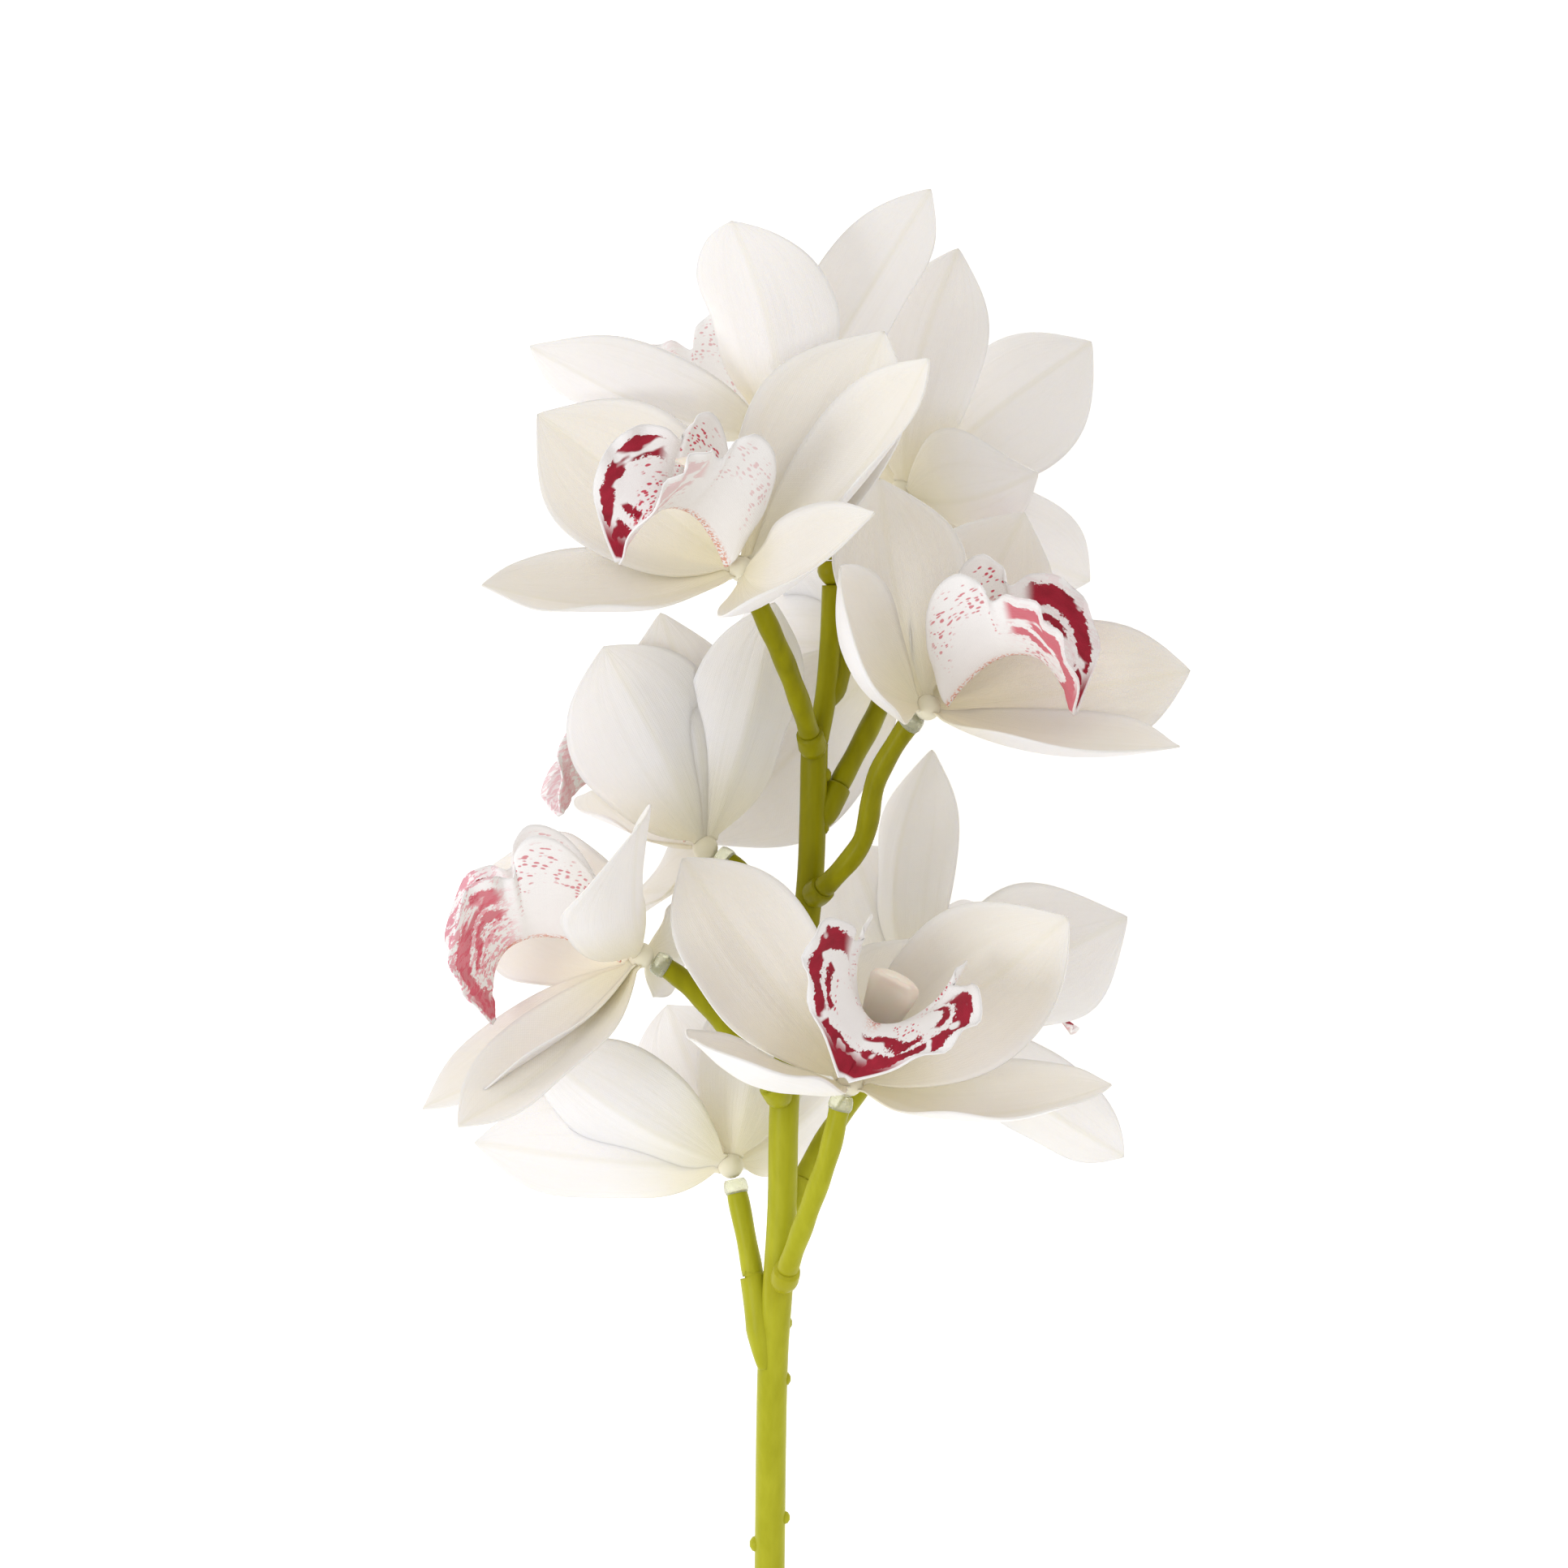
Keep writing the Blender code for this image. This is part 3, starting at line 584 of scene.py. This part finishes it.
# Distances from the margin and widths of the print are millimetres on the cloth.
lipPrint = {
    "band": {"Centre": 4.6, "Width": 4.6, "Wander": 2.2},
    "arc": {"Centre": 9.6, "Width": 2.3, "Wander": 5.0},
    "dots": {"Across": 1.35, "Along": 0.85, "Size": 0.34},
    "cloth": [(0.91, 0.895, 0.895, 1), (0.96, 0.95, 0.955, 1)],
    "thread": (0.80, 0.74, 0.74, 1), "dot": (0.62, 0.03, 0.075, 1), "keel": (0.74, 0.24, 0.12, 1),
    "inside": {"ink": [(0.20, 0.002, 0.012, 1), (0.47, 0.012, 0.042, 1)], "halo": (0.74, 0.16, 0.25, 1),
               "hatch": 0.0},
    "outside": {"ink": [(0.50, 0.008, 0.040, 1), (0.72, 0.05, 0.10, 1)], "halo": (0.82, 0.24, 0.32, 1),
                "hatch": 0.45},
}


def makeLipSatin(name, weave, band, dashes, inside):
    material, tree, surface = newMaterial(name)
    cloth = attribute(tree, "cloth")
    across, along, rim = separate(tree, cloth)
    v, s, seed = separate(tree, attribute(tree, "place"))
    through, streaky, faded = separate(tree, attribute(tree, "inking"))
    spot = combine(tree, across, along, times(tree, seed, 7.0))
    thread = placeGroup(tree, weave, Cloth=cloth, Pitch=tepalTones["pitch"])

    # the crimson band inside the frill, with a broken arc behind it and a dark tip
    front = ramp(tree, s, 0.54, 0.60)
    outer = placeGroup(tree, band, Rim=rim, Cloth=spot, **lipPrint["band"])["Mask"]
    second = placeGroup(tree, band, Rim=rim, Cloth=spot, **lipPrint["arc"])["Mask"]
    bandGaps = ramp(tree, noiseOf(tree, spot, 0.22, 2.0), 0.36, 0.42)
    arcGaps = ramp(tree, noiseOf(tree, spot, 0.13, 1.0), 0.49, 0.54)
    frontBand = times(tree, outer, front, bandGaps)
    innerArc = times(tree, second, front, arcGaps)
    tip = times(tree, ramp(tree, s, 0.86, 0.94), ramp(tree, rim, 0.4, 1.0))
    crimson = calc(tree, "MAXIMUM", calc(tree, "MAXIMUM", frontBand, innerArc), tip)

    # dots on the side lobes, and some in the throat
    dots = placeGroup(tree, dashes, Cloth=spot, **lipPrint["dots"])["Mask"]
    lobes = times(tree, ramp(tree, s, 0.10, 0.16), ramp(tree, s, 0.52, 0.44))
    dotBand = times(tree, ramp(tree, rim, 1.2, 3.0), ramp(tree, rim, 11.5, 8.5))
    sideDots = times(tree, dots, lobes, dotBand)
    throatPatch = ramp(tree, noiseOf(tree, spot, 0.14, 1.0), 0.47, 0.55)
    throat = times(tree, ramp(tree, rim, 7.0, 9.0), throatPatch)
    throatDots = times(tree, dots, ramp(tree, s, 0.5, 0.62), throat)
    allDots = calc(tree, "MAXIMUM", sideDots, throatDots)

    # larger streaks that some lips carry all over the front, and the hatched middle line
    brushed = combine(tree, times(tree, across, 0.95), times(tree, along, 0.6), seed)
    strokes = ramp(tree, noiseOf(tree, brushed, 1.0, 3.0, 0.7), 0.50, 0.54)
    streaks = times(tree, strokes, times(tree, ramp(tree, s, 0.48, 0.66), streaky))
    keelLine = times(tree, ramp(tree, calc(tree, "ABSOLUTE", across), 2.6, 0.9), ramp(tree, s, 0.78, 0.6))
    keelHatch = times(tree, keelLine, ramp(tree, noiseOf(tree, spot, 1.6, 1.0), 0.46, 0.56))

    plain = blendColor(tree, noiseOf(tree, spot, 0.12, 2.0), *lipPrint["cloth"])
    white = blendColor(tree, times(tree, thread["Shade"], 0.06), plain, lipPrint["thread"])
    side = lipPrint["inside" if inside else "outside"]
    ink = blendColor(tree, noiseOf(tree, spot, 0.45, 2.0), *side["ink"])
    if inside:
        strength = calc(tree, "SUBTRACT", 0.98, faded)
        dotStrength = 0.92
    else:
        strength = through
        dotStrength = calc(tree, "MULTIPLY_ADD", through, 0.75, 0.1)
    blush = blendColor(tree, times(tree, streaks, 0.8), white, side["halo"])
    dotted = blendColor(tree, times(tree, allDots, dotStrength), blush, lipPrint["dot"])
    hatching = times(tree, ramp(tree, thread["Shade"], 0.35, 0.65), side["hatch"])
    hatched = blendColor(tree, hatching, ink, side["halo"])
    printed = blendColor(tree, times(tree, crimson, strength), dotted, hatched)
    keeled = blendColor(tree, times(tree, keelHatch, 0.75), printed, lipPrint["keel"])
    tree.links.new(keeled, surface.inputs["Base Color"])
    tree.links.new(calc(tree, "MULTIPLY_ADD", thread["Shade"], 0.12, 0.55), surface.inputs["Roughness"])
    folds = combine(tree, times(tree, v, 7.0), times(tree, s, 4.0), seed)
    creases = noiseOf(tree, folds, 1.0, 3.0)
    height = calc(tree, "MULTIPLY_ADD", creases, 1.6, times(tree, thread["Height"], 0.4))
    tree.links.new(bumpOf(tree, height, 0.35, 0.0003), surface.inputs["Normal"])
    surface.inputs["Specular IOR Level"].default_value = 0.04
    return material


columnTones = {"shade": (0.89, 0.81, 0.66, 1), "light": (0.91, 0.86, 0.76, 1), "tip": (0.90, 0.78, 0.68, 1)}


def makeColumnCream():
    material, tree, surface = newMaterial("column cream")
    spot = addNode(tree, "ShaderNodeTexCoord").outputs["Object"]
    v, s, seed = separate(tree, attribute(tree, "place"))
    cloud = noiseOf(tree, spot, 180.0, 3.0)
    base = blendColor(tree, cloud, columnTones["shade"], columnTones["light"])
    tipped = blendColor(tree, ramp(tree, s, 0.6, 1.0, 0.0, 0.4), base, columnTones["tip"])
    tree.links.new(tipped, surface.inputs["Base Color"])
    tree.links.new(calc(tree, "MULTIPLY_ADD", cloud, 0.2, 0.42), surface.inputs["Roughness"])
    tree.links.new(bumpOf(tree, noiseOf(tree, spot, 900.0, 2.0), 0.2, 0.0002), surface.inputs["Normal"])
    surface.inputs["Subsurface Weight"].default_value = 0.3
    surface.inputs["Subsurface Scale"].default_value = 0.002
    return material


# The plastic is paler toward the foot and darker under the blooms, partly its own colour and partly painted
# shade; the change runs between these places along y, in metres.
stemTones = {
    "shadedUpper": [(0.16, 0.145, 0.0, 1), (0.32, 0.30, 0.0, 1)],
    "lower": [(0.32, 0.32, 0.006, 1), (0.53, 0.53, 0.035, 1)],
    "aged": (0.34, 0.29, 0.004, 1), "change": (-0.02, 0.045),
}


def makeStemPlastic():
    material, tree, surface = newMaterial("stem plastic")
    spot = addNode(tree, "ShaderNodeTexCoord").outputs["Object"]
    x, y, z = separate(tree, spot)
    stretched = combine(tree, times(tree, x, 5.0), y, times(tree, z, 5.0))
    streak = noiseOf(tree, stretched, 60.0, 3.0)
    cloud = noiseOf(tree, spot, 35.0, 3.0)
    shadedUpper = blendColor(tree, streak, *stemTones["shadedUpper"])
    lower = blendColor(tree, streak, *stemTones["lower"])
    # darker toward the blooms: partly the plastic's own colour, partly painted shade under the blooms
    green = blendColor(tree, ramp(tree, y, *stemTones["change"]), lower, shadedUpper)
    aged = blendColor(tree, ramp(tree, cloud, 0.52, 0.72, 0.0, 0.4), green, stemTones["aged"])
    tree.links.new(aged, surface.inputs["Base Color"])
    tree.links.new(calc(tree, "MULTIPLY_ADD", streak, 0.18, 0.26), surface.inputs["Roughness"])
    height = calc(tree, "MULTIPLY_ADD", streak, 1.0, noiseOf(tree, spot, 700.0, 2.0))
    tree.links.new(bumpOf(tree, height, 0.25, 0.0003), surface.inputs["Normal"])
    surface.inputs["Specular IOR Level"].default_value = 0.12
    return material


collarTones = [(0.84, 0.86, 0.60, 1), (0.93, 0.93, 0.80, 1)]


def makeCollarClear():
    material, tree, surface = newMaterial("collar clear")
    spot = addNode(tree, "ShaderNodeTexCoord").outputs["Object"]
    cloud = noiseOf(tree, spot, 400.0, 3.0)
    tree.links.new(blendColor(tree, cloud, *collarTones), surface.inputs["Base Color"])
    tree.links.new(calc(tree, "MULTIPLY_ADD", cloud, 0.25, 0.15), surface.inputs["Roughness"])
    tree.links.new(bumpOf(tree, cloud, 0.12, 0.0002), surface.inputs["Normal"])
    surface.inputs["Transmission Weight"].default_value = 0.7
    surface.inputs["IOR"].default_value = 1.45
    return material


floorTones = [(0.955, 0.955, 0.955, 1), (0.965, 0.965, 0.965, 1)]


def makeFloorPaper():
    material, tree, surface = newMaterial("floor paper")
    spot = addNode(tree, "ShaderNodeTexCoord").outputs["Object"]
    tree.links.new(blendColor(tree, noiseOf(tree, spot, 3.0, 2.0), *floorTones), surface.inputs["Base Color"])
    surface.inputs["Roughness"].default_value = 0.9
    surface.inputs["Specular IOR Level"].default_value = 0.1
    surface.inputs["Emission Color"].default_value = (1.0, 1.0, 1.0, 1.0)  # lit from below
    surface.inputs["Emission Strength"].default_value = 0.45
    return material


# Pieces

tepalCloth = {"rows": 44, "columns": 24, "thickness": 0.45, "edgeWave": 0.7, "wrinkle": 0.45,
              "hubShare": 0.72}
# The outline widens as s ** widen and narrows as (1 - s) ** narrow; peak is about the most that their
# product reaches, and root is how far from the bloom's middle a tepal starts.
tepalOutline = {"root": 2.2, "rootHalf": 2.3, "widen": 0.8, "narrow": 0.62, "peak": 0.3783,
                "bluntness": 1.25, "tipHalf": 0.3, "tipCurl": 1.5, "midribDepth": 0.9, "midribWidth": 0.2}


def tepalPoint(centre, spec, s, v):
    tip = Vector(spec[0])
    width = spec[1]
    bow = spec[2]
    cup = math.radians(spec[3])
    sway = spec[5] if len(spec) > 5 else 0.0
    bluntness = spec[6] if len(spec) > 6 else tepalOutline["bluntness"]
    along = tip.normalized()
    face = Vector(spec[4])
    normal = (face - along * face.dot(along)).normalized()
    side = along.cross(normal)
    start = tepalOutline["root"] / tip.length
    t = start + s * (1.0 - start)
    curl = normal * tepalOutline["tipCurl"] * s ** 6
    middle = tip * t + (normal * bow + side * sway) * 4.0 * t * (1.0 - t) - curl
    shape = (s ** tepalOutline["widen"]) * ((1.0 - s) ** tepalOutline["narrow"]) / tepalOutline["peak"]
    corner = bluntness * (1.0 - s) * tip.length + tepalOutline["tipHalf"]
    body = max(0.5 * width * shape, 0.01)
    softMinimum = (body ** -5.0 + corner ** -5.0) ** -0.2
    half = max(softMinimum, tepalOutline["rootHalf"] * (1.0 - s) ** 2)
    bend = cup * math.sin(math.pi * min(1.0, 0.12 + 0.88 * s)) + 0.12
    across = half * math.sin(bend * v) / bend
    rise = half * (1.0 - math.cos(bend * v)) / bend
    groove = math.exp(-(v / tepalOutline["midribWidth"]) ** 2) * math.sin(math.pi * s)
    return centre + middle + side * across + normal * (rise - tepalOutline["midribDepth"] * groove)


def makeTepals(letter, bloom, materials):
    draw = random.Random("tepals " + letter)
    centre = Vector(bloom["centre"])
    bm = bmesh.new()
    layers = (bm.verts.layers.float_vector.new("cloth"), bm.verts.layers.float_vector.new("place"))
    for spec in bloom["tepals"]:
        seed = draw.uniform(0.0, 20.0)
        turns = draw.uniform(1.6, 2.8)
        phases = (draw.uniform(0.0, 6.28), draw.uniform(0.0, 6.28))

        def wave(s, v, rim):
            fade = math.sin(math.pi * min(1.0, s)) ** 0.7
            edge = tepalCloth["edgeWave"] * abs(v) ** 2.2 * fade
            phase = phases[0] if v >= 0 else phases[1]
            soft = noise.noise(Vector((v * 1.4, s * 2.2, seed))) * tepalCloth["wrinkle"] * fade
            return edge * math.sin(6.283 * turns * s + phase) + soft

        def point(s, v):
            eased = s - 0.5 * (s - 0.5 + 0.5 * math.cos(math.pi * s))  # rows stand closer at root and tip
            return tepalPoint(centre, spec, min(1.0, max(0.0, eased)), v)

        addSheet(bm, layers, tepalCloth["rows"], tepalCloth["columns"], point, seed, wave)
    hubSize = hubRadius * tepalCloth["hubShare"]
    for vert in addBall(bm, centre, (hubSize, hubSize, hubSize), 3):
        vert[layers[0]] = (5.0, 2.0, 3.0)  # across, along and rim: the hub takes the throat colour, the cloth's cream partly deepened as painted warm shade
        vert[layers[1]] = (0.4, 0.0, 1.0)
    return finishPiece("satin_tepals_" + letter, bm, materials, "bloom_" + letter + "_tepals",
                       tepalCloth["thickness"], orient=False)


lipCloth = {"rows": 64, "columns": 48, "thickness": 0.4, "frill": 1.15, "frillLength": 7.5, "frillDepth": 9.0,
            "marginLength": 62.0, "openedRow": 7.0, "foldStart": 6.0, "foldRows": 4.0}
# For each bloom: how far the print shows through to the outside, how streaked the front is,
# and how much the print has faded on the inside.
lipInking = {"A": (0.3, 0.0, 0.0), "B": (0.85, 0.15, 0.0), "C": (0.8, 0.9, 0.0), "D": (0.35, 0.45, 0.7),
             "I": (0.45, 0.0, 0.0), "others": (0.5, 0.2, 0.0)}
lipSteps = 8
lipKeelFine = smoothLine([Vector(p) for p in lipKeel], lipSteps)
lipMarginFine = smoothLine([Vector(p) for p in lipMargin], lipSteps)
lipSpreadFine = [p.x for p in smoothLine([Vector((value, 0.0)) for value in lipSpread], lipSteps)]


def fineAt(line, place):
    k = min(int(place), len(line) - 2)
    return line[k] + (line[k + 1] - line[k]) * (place - k)


def lipFrame(bloom):
    forward = Vector(bloom["lip"][0]).normalized()
    upward = Vector(bloom["lip"][1])
    upward = (upward - forward * upward.dot(forward)).normalized()
    side = forward.cross(upward)
    origin = Vector(bloom["centre"]) + forward * (hubRadius + 1.0)
    opening = bloom["lip"][3] if len(bloom["lip"]) > 3 else 1.0
    return origin, forward, upward, side, bloom["lip"][2], opening


def makeLip(letter, bloom, materials):
    draw = random.Random("lip " + letter)
    origin, forward, upward, side, size, opening = lipFrame(bloom)
    bm = bmesh.new()
    layers = (bm.verts.layers.float_vector.new("cloth"), bm.verts.layers.float_vector.new("place"),
              bm.verts.layers.float_vector.new("inking"))
    seed = draw.uniform(0.0, 20.0)
    phases = (draw.uniform(0.0, 6.28), draw.uniform(0.0, 6.28))
    last = len(lipKeelFine) - 1
    lastRow = len(lipKeel) - 1

    def point(s, v):
        keel = fineAt(lipKeelFine, s * last)
        margin = fineAt(lipMarginFine, s * last)
        spread = fineAt(lipSpreadFine, s * last)
        reach = abs(v)
        row = s * lastRow
        flat = keel + (margin - keel) * reach ** 1.25
        opened = 1.0 + (opening - 1.0) * min(1.0, row / lipCloth["openedRow"]) ** 2
        # round at the root, folded to a V at the front
        fold = max(0.0, min(1.0, (row - lipCloth["foldStart"]) / lipCloth["foldRows"]))
        rounded = math.sin(reach * math.pi * 0.5) ** 0.8
        wall = spread * opened * ((1.0 - fold) * rounded + fold * reach ** 1.1)
        if v < 0:
            wall = -wall
        return origin + (forward * flat.x + upward * flat.y + side * wall) * size

    def wave(s, v, rim):
        depth = max(0.0, 1.0 - rim / (lipCloth["frillDepth"] * size)) ** 1.6
        rootFade = min(1.0, max(0.15, (s - 0.3) * 4.0))
        tipFade = min(1.0, (1.0 - s) * 8.0)
        phase = phases[0] if v >= 0 else phases[1]
        pitch = 6.283 * s * lipCloth["marginLength"] / lipCloth["frillLength"]
        swing = math.sin(pitch + phase + 1.3 * math.sin(pitch * 0.37 + seed))
        return lipCloth["frill"] * depth * rootFade * tipFade * swing

    inking = lipInking.get(letter, lipInking["others"])
    faces = addSheet(bm, layers, lipCloth["rows"], lipCloth["columns"], point, seed, wave, inking)
    for face in faces:
        face.normal_update()
    middle = origin + (forward * 16.0 + upward * 22.0) * size  # in the hollow that the printed side faces
    inner = sum(face.normal.dot(middle - face.calc_center_median()) * face.calc_area() for face in faces)
    if inner < 0.0:
        bmesh.ops.reverse_faces(bm, faces=faces)
    return finishPiece("printed_lip_" + letter, bm, materials, "bloom_" + letter + "_lip",
                       lipCloth["thickness"], orient=False)


hood = {"sides": 32, "steps": 6, "endReach": (0.6, 1.1, 1.4), "endShare": (0.82, 0.55, 0.15),
        "hollowWidth": 3.4, "hollowDepth": 1.1}


def makeColumn(letter, bloom, material):
    # a wide hood, hollow underneath, with a rounded end
    origin, forward, upward, side, size, opening = lipFrame(bloom)
    line = smoothLine([origin + (forward * x + upward * y) * size for x, y in columnLine], hood["steps"])
    reach = (line[-1] - line[-2]).normalized()
    line += [line[-1] + reach * size * step for step in hood["endReach"]]
    widths = [p.x * size for p in smoothLine([Vector((r, 0.0)) for r in columnWidths], hood["steps"])]
    depths = [p.x * size for p in smoothLine([Vector((r, 0.0)) for r in columnDepths], hood["steps"])]
    widths += [widths[-1] * share for share in hood["endShare"]]
    depths += [depths[-1] * share for share in hood["endShare"]]
    bm = bmesh.new()
    layer = bm.verts.layers.float_vector.new("place")
    addTube(bm, line, widths, hood["sides"], side, depths)
    total = (line[-1] - line[0]).length
    under = (forward - upward * 0.8).normalized()
    for vert in bm.verts:
        spot = vert.co - line[0]
        vert[layer] = (spot.dot(side) / (5.0 * size), spot.length / total, 0.0)
        hollow = max(0.0, 1.0 - (spot.dot(side) / (hood["hollowWidth"] * size)) ** 2)
        hollow *= min(1.0, spot.length / (6.0 * size))
        if (vert.co - nearestOn(line, vert.co)).dot(under) > 0.0:
            vert.co -= under * hood["hollowDepth"] * size * hollow
    return finishPiece("column_" + letter, bm, [material], "bloom_" + letter + "_column")


plastic = {"stemSides": 28, "stemSteps": 6, "socketRadius": 2.9, "socketFlare": 0.5, "socketSides": 20,
           "pedicelRadius": 2.35, "pedicelSides": 24, "clearance": 0.9, "collarLength": 2.4,
           "collarRadii": [2.5, 2.75, 2.7, 2.6, 2.2]}


def pedicelPath(letter):
    return smoothLine([Vector(p) for p in pedicels[letter]] + [Vector(blooms[letter]["centre"])], 3)


def socketLength(path):
    return clearOfStem(path, plastic["pedicelRadius"] + plastic["clearance"])


def makeStem(material):
    steps = plastic["stemSteps"]
    line = smoothLine([Vector(entry[:3]) for entry in stemLine], steps)
    radii = [p.x for p in smoothLine([Vector((entry[3], 0.0)) for entry in stemLine], steps)]
    bm = bmesh.new()
    addTube(bm, line, radii, plastic["stemSides"])
    for letter in pedicels:
        path = pedicelPath(letter)
        socket = smoothLine(cutLine(path, 0.0, socketLength(path)), 3)
        count = len(socket)
        sizes = []
        for k in range(count):
            flare = plastic["socketFlare"] * (1.0 - k / count)
            taper = min(1.0, 0.3 + 2.0 * k / count)  # the narrow root sits inside the stem
            sizes.append((plastic["socketRadius"] + flare) * taper)
        addTube(bm, socket, sizes, plastic["socketSides"])
    for spot, size in stemNubs:
        addBall(bm, Vector(spot), (size, size * 1.2, size), 2)
    return finishPiece("moulded_stem", bm, [material], "main_stem")


def makePedicel(letter, green, clear):
    path = pedicelPath(letter)
    endCollar = lineLength(path) - hubRadius - pieceGap
    startCollar = endCollar - plastic["collarLength"]
    stalk = smoothLine(cutLine(path, socketLength(path) + pieceGap, startCollar + 0.5), 3)
    uneven = [plastic["pedicelRadius"] * (1.0 + 0.04 * math.sin(k * 0.9)) for k in range(len(stalk))]
    bm = bmesh.new()
    addTube(bm, stalk, uneven, plastic["pedicelSides"])
    finishPiece("pedicel_stalk_" + letter, bm, [green], "pedicel_" + letter)
    ends = cutLine(path, startCollar, endCollar + 0.8)  # goes past its solid, to the smaller satin hub
    count = len(plastic["collarRadii"])
    line = [ends[0].lerp(ends[-1], k / (count - 1)) for k in range(count)]
    bm = bmesh.new()
    addTube(bm, line, plastic["collarRadii"], plastic["pedicelSides"])
    finishPiece("clear_collar_" + letter, bm, [clear], "collar_" + letter)


weave = makeWeaveGroup()
band = makeBandGroup()
dashes = makeDashGroup()
tepalMaterials = [makeTepalSatin("tepal inside", weave, tepalTones["inside"]),
                  makeTepalSatin("tepal back", weave, tepalTones["back"])]
lipMaterials = [makeLipSatin("lip print inside", weave, band, dashes, True),
                makeLipSatin("lip print outside", weave, band, dashes, False)]
columnCream = makeColumnCream()
stemPlastic = makeStemPlastic()
collarClear = makeCollarClear()
print("materials made")

for letter, bloom in blooms.items():
    makeTepals(letter, bloom, tepalMaterials)
    makeLip(letter, bloom, lipMaterials)
    makeColumn(letter, bloom, columnCream)
print("blooms made")

makeStem(stemPlastic)
for letter in pedicels:
    makePedicel(letter, stemPlastic, collarClear)
print("stem and pedicels made")


# Floor, light and camera

# Places and sizes are metres here; the lens, the sensor and pixelSize are millimetres.
studio = {
    "floorSize": 6.0, "floorDrop": 0.0004, "worldColor": (1.0, 0.975, 0.935, 1.0), "worldStrength": 0.77,
    "target": (0.0, 0.07, 0.05), "lens": 400.0, "sensor": 36.0, "focusHeight": 0.075,
    "photoPixels": 1932, "pixelSize": 0.18,
}
lamps = {
    "key": {"place": (-1.7, -0.4, 1.9), "size": 1.2, "power": 19.0, "color": (0.92, 0.95, 1.0)},
    "fill": {"place": (1.0, -1.6, 2.2), "size": 1.8, "power": 4.0, "color": (1.0, 0.98, 0.95)},
}


def makeFloor(material):
    bm = bmesh.new()
    bmesh.ops.create_grid(bm, x_segments=1, y_segments=1, size=studio["floorSize"])
    mesh = bpy.data.meshes.new("floor")
    bm.to_mesh(mesh)
    bm.free()
    mesh.materials.append(material)
    floor = bpy.data.objects.new("floor", mesh)
    floor.location = (0.0, 0.0, -studio["floorDrop"])
    bpy.context.scene.collection.objects.link(floor)


def addLamp(name, lamp):
    light = bpy.data.lights.new(name, "AREA")
    light.shape = "DISK"
    light.size = lamp["size"]
    light.energy = lamp["power"]
    light.color = lamp["color"]
    item = bpy.data.objects.new(name, light)
    item.location = lamp["place"]
    aim = Vector(studio["target"]) - Vector(lamp["place"])
    item.rotation_euler = aim.to_track_quat("-Z", "Y").to_euler()
    bpy.context.scene.collection.objects.link(item)


def makeWorld():
    world = bpy.data.worlds.new("soft studio")
    world.use_nodes = True
    background = world.node_tree.nodes["Background"]
    background.inputs[0].default_value = studio["worldColor"]
    background.inputs[1].default_value = studio["worldStrength"]
    bpy.context.scene.world = world


def makeCamera():
    # looks straight down; the photo's lower edge is 110 mm up from the foot of the stem
    frameWidth = studio["photoPixels"] * studio["pixelSize"] * mm
    lens = bpy.data.cameras.new("camera")
    lens.lens = studio["lens"]
    lens.sensor_width = studio["sensor"]
    lens.clip_start = 0.1
    lens.clip_end = 30.0
    distance = frameWidth * lens.lens / lens.sensor_width
    camera = bpy.data.objects.new("camera", lens)
    camera.location = (shift.x * mm, frameWidth * 0.5 + shift.y * mm, studio["focusHeight"] + distance)
    bpy.context.scene.collection.objects.link(camera)
    bpy.context.scene.camera = camera


makeFloor(makeFloorPaper())
makeWorld()
for name, lamp in lamps.items():
    addLamp(name, lamp)
makeCamera()
bpy.context.scene.view_settings.view_transform = "Standard"
print("stage made")
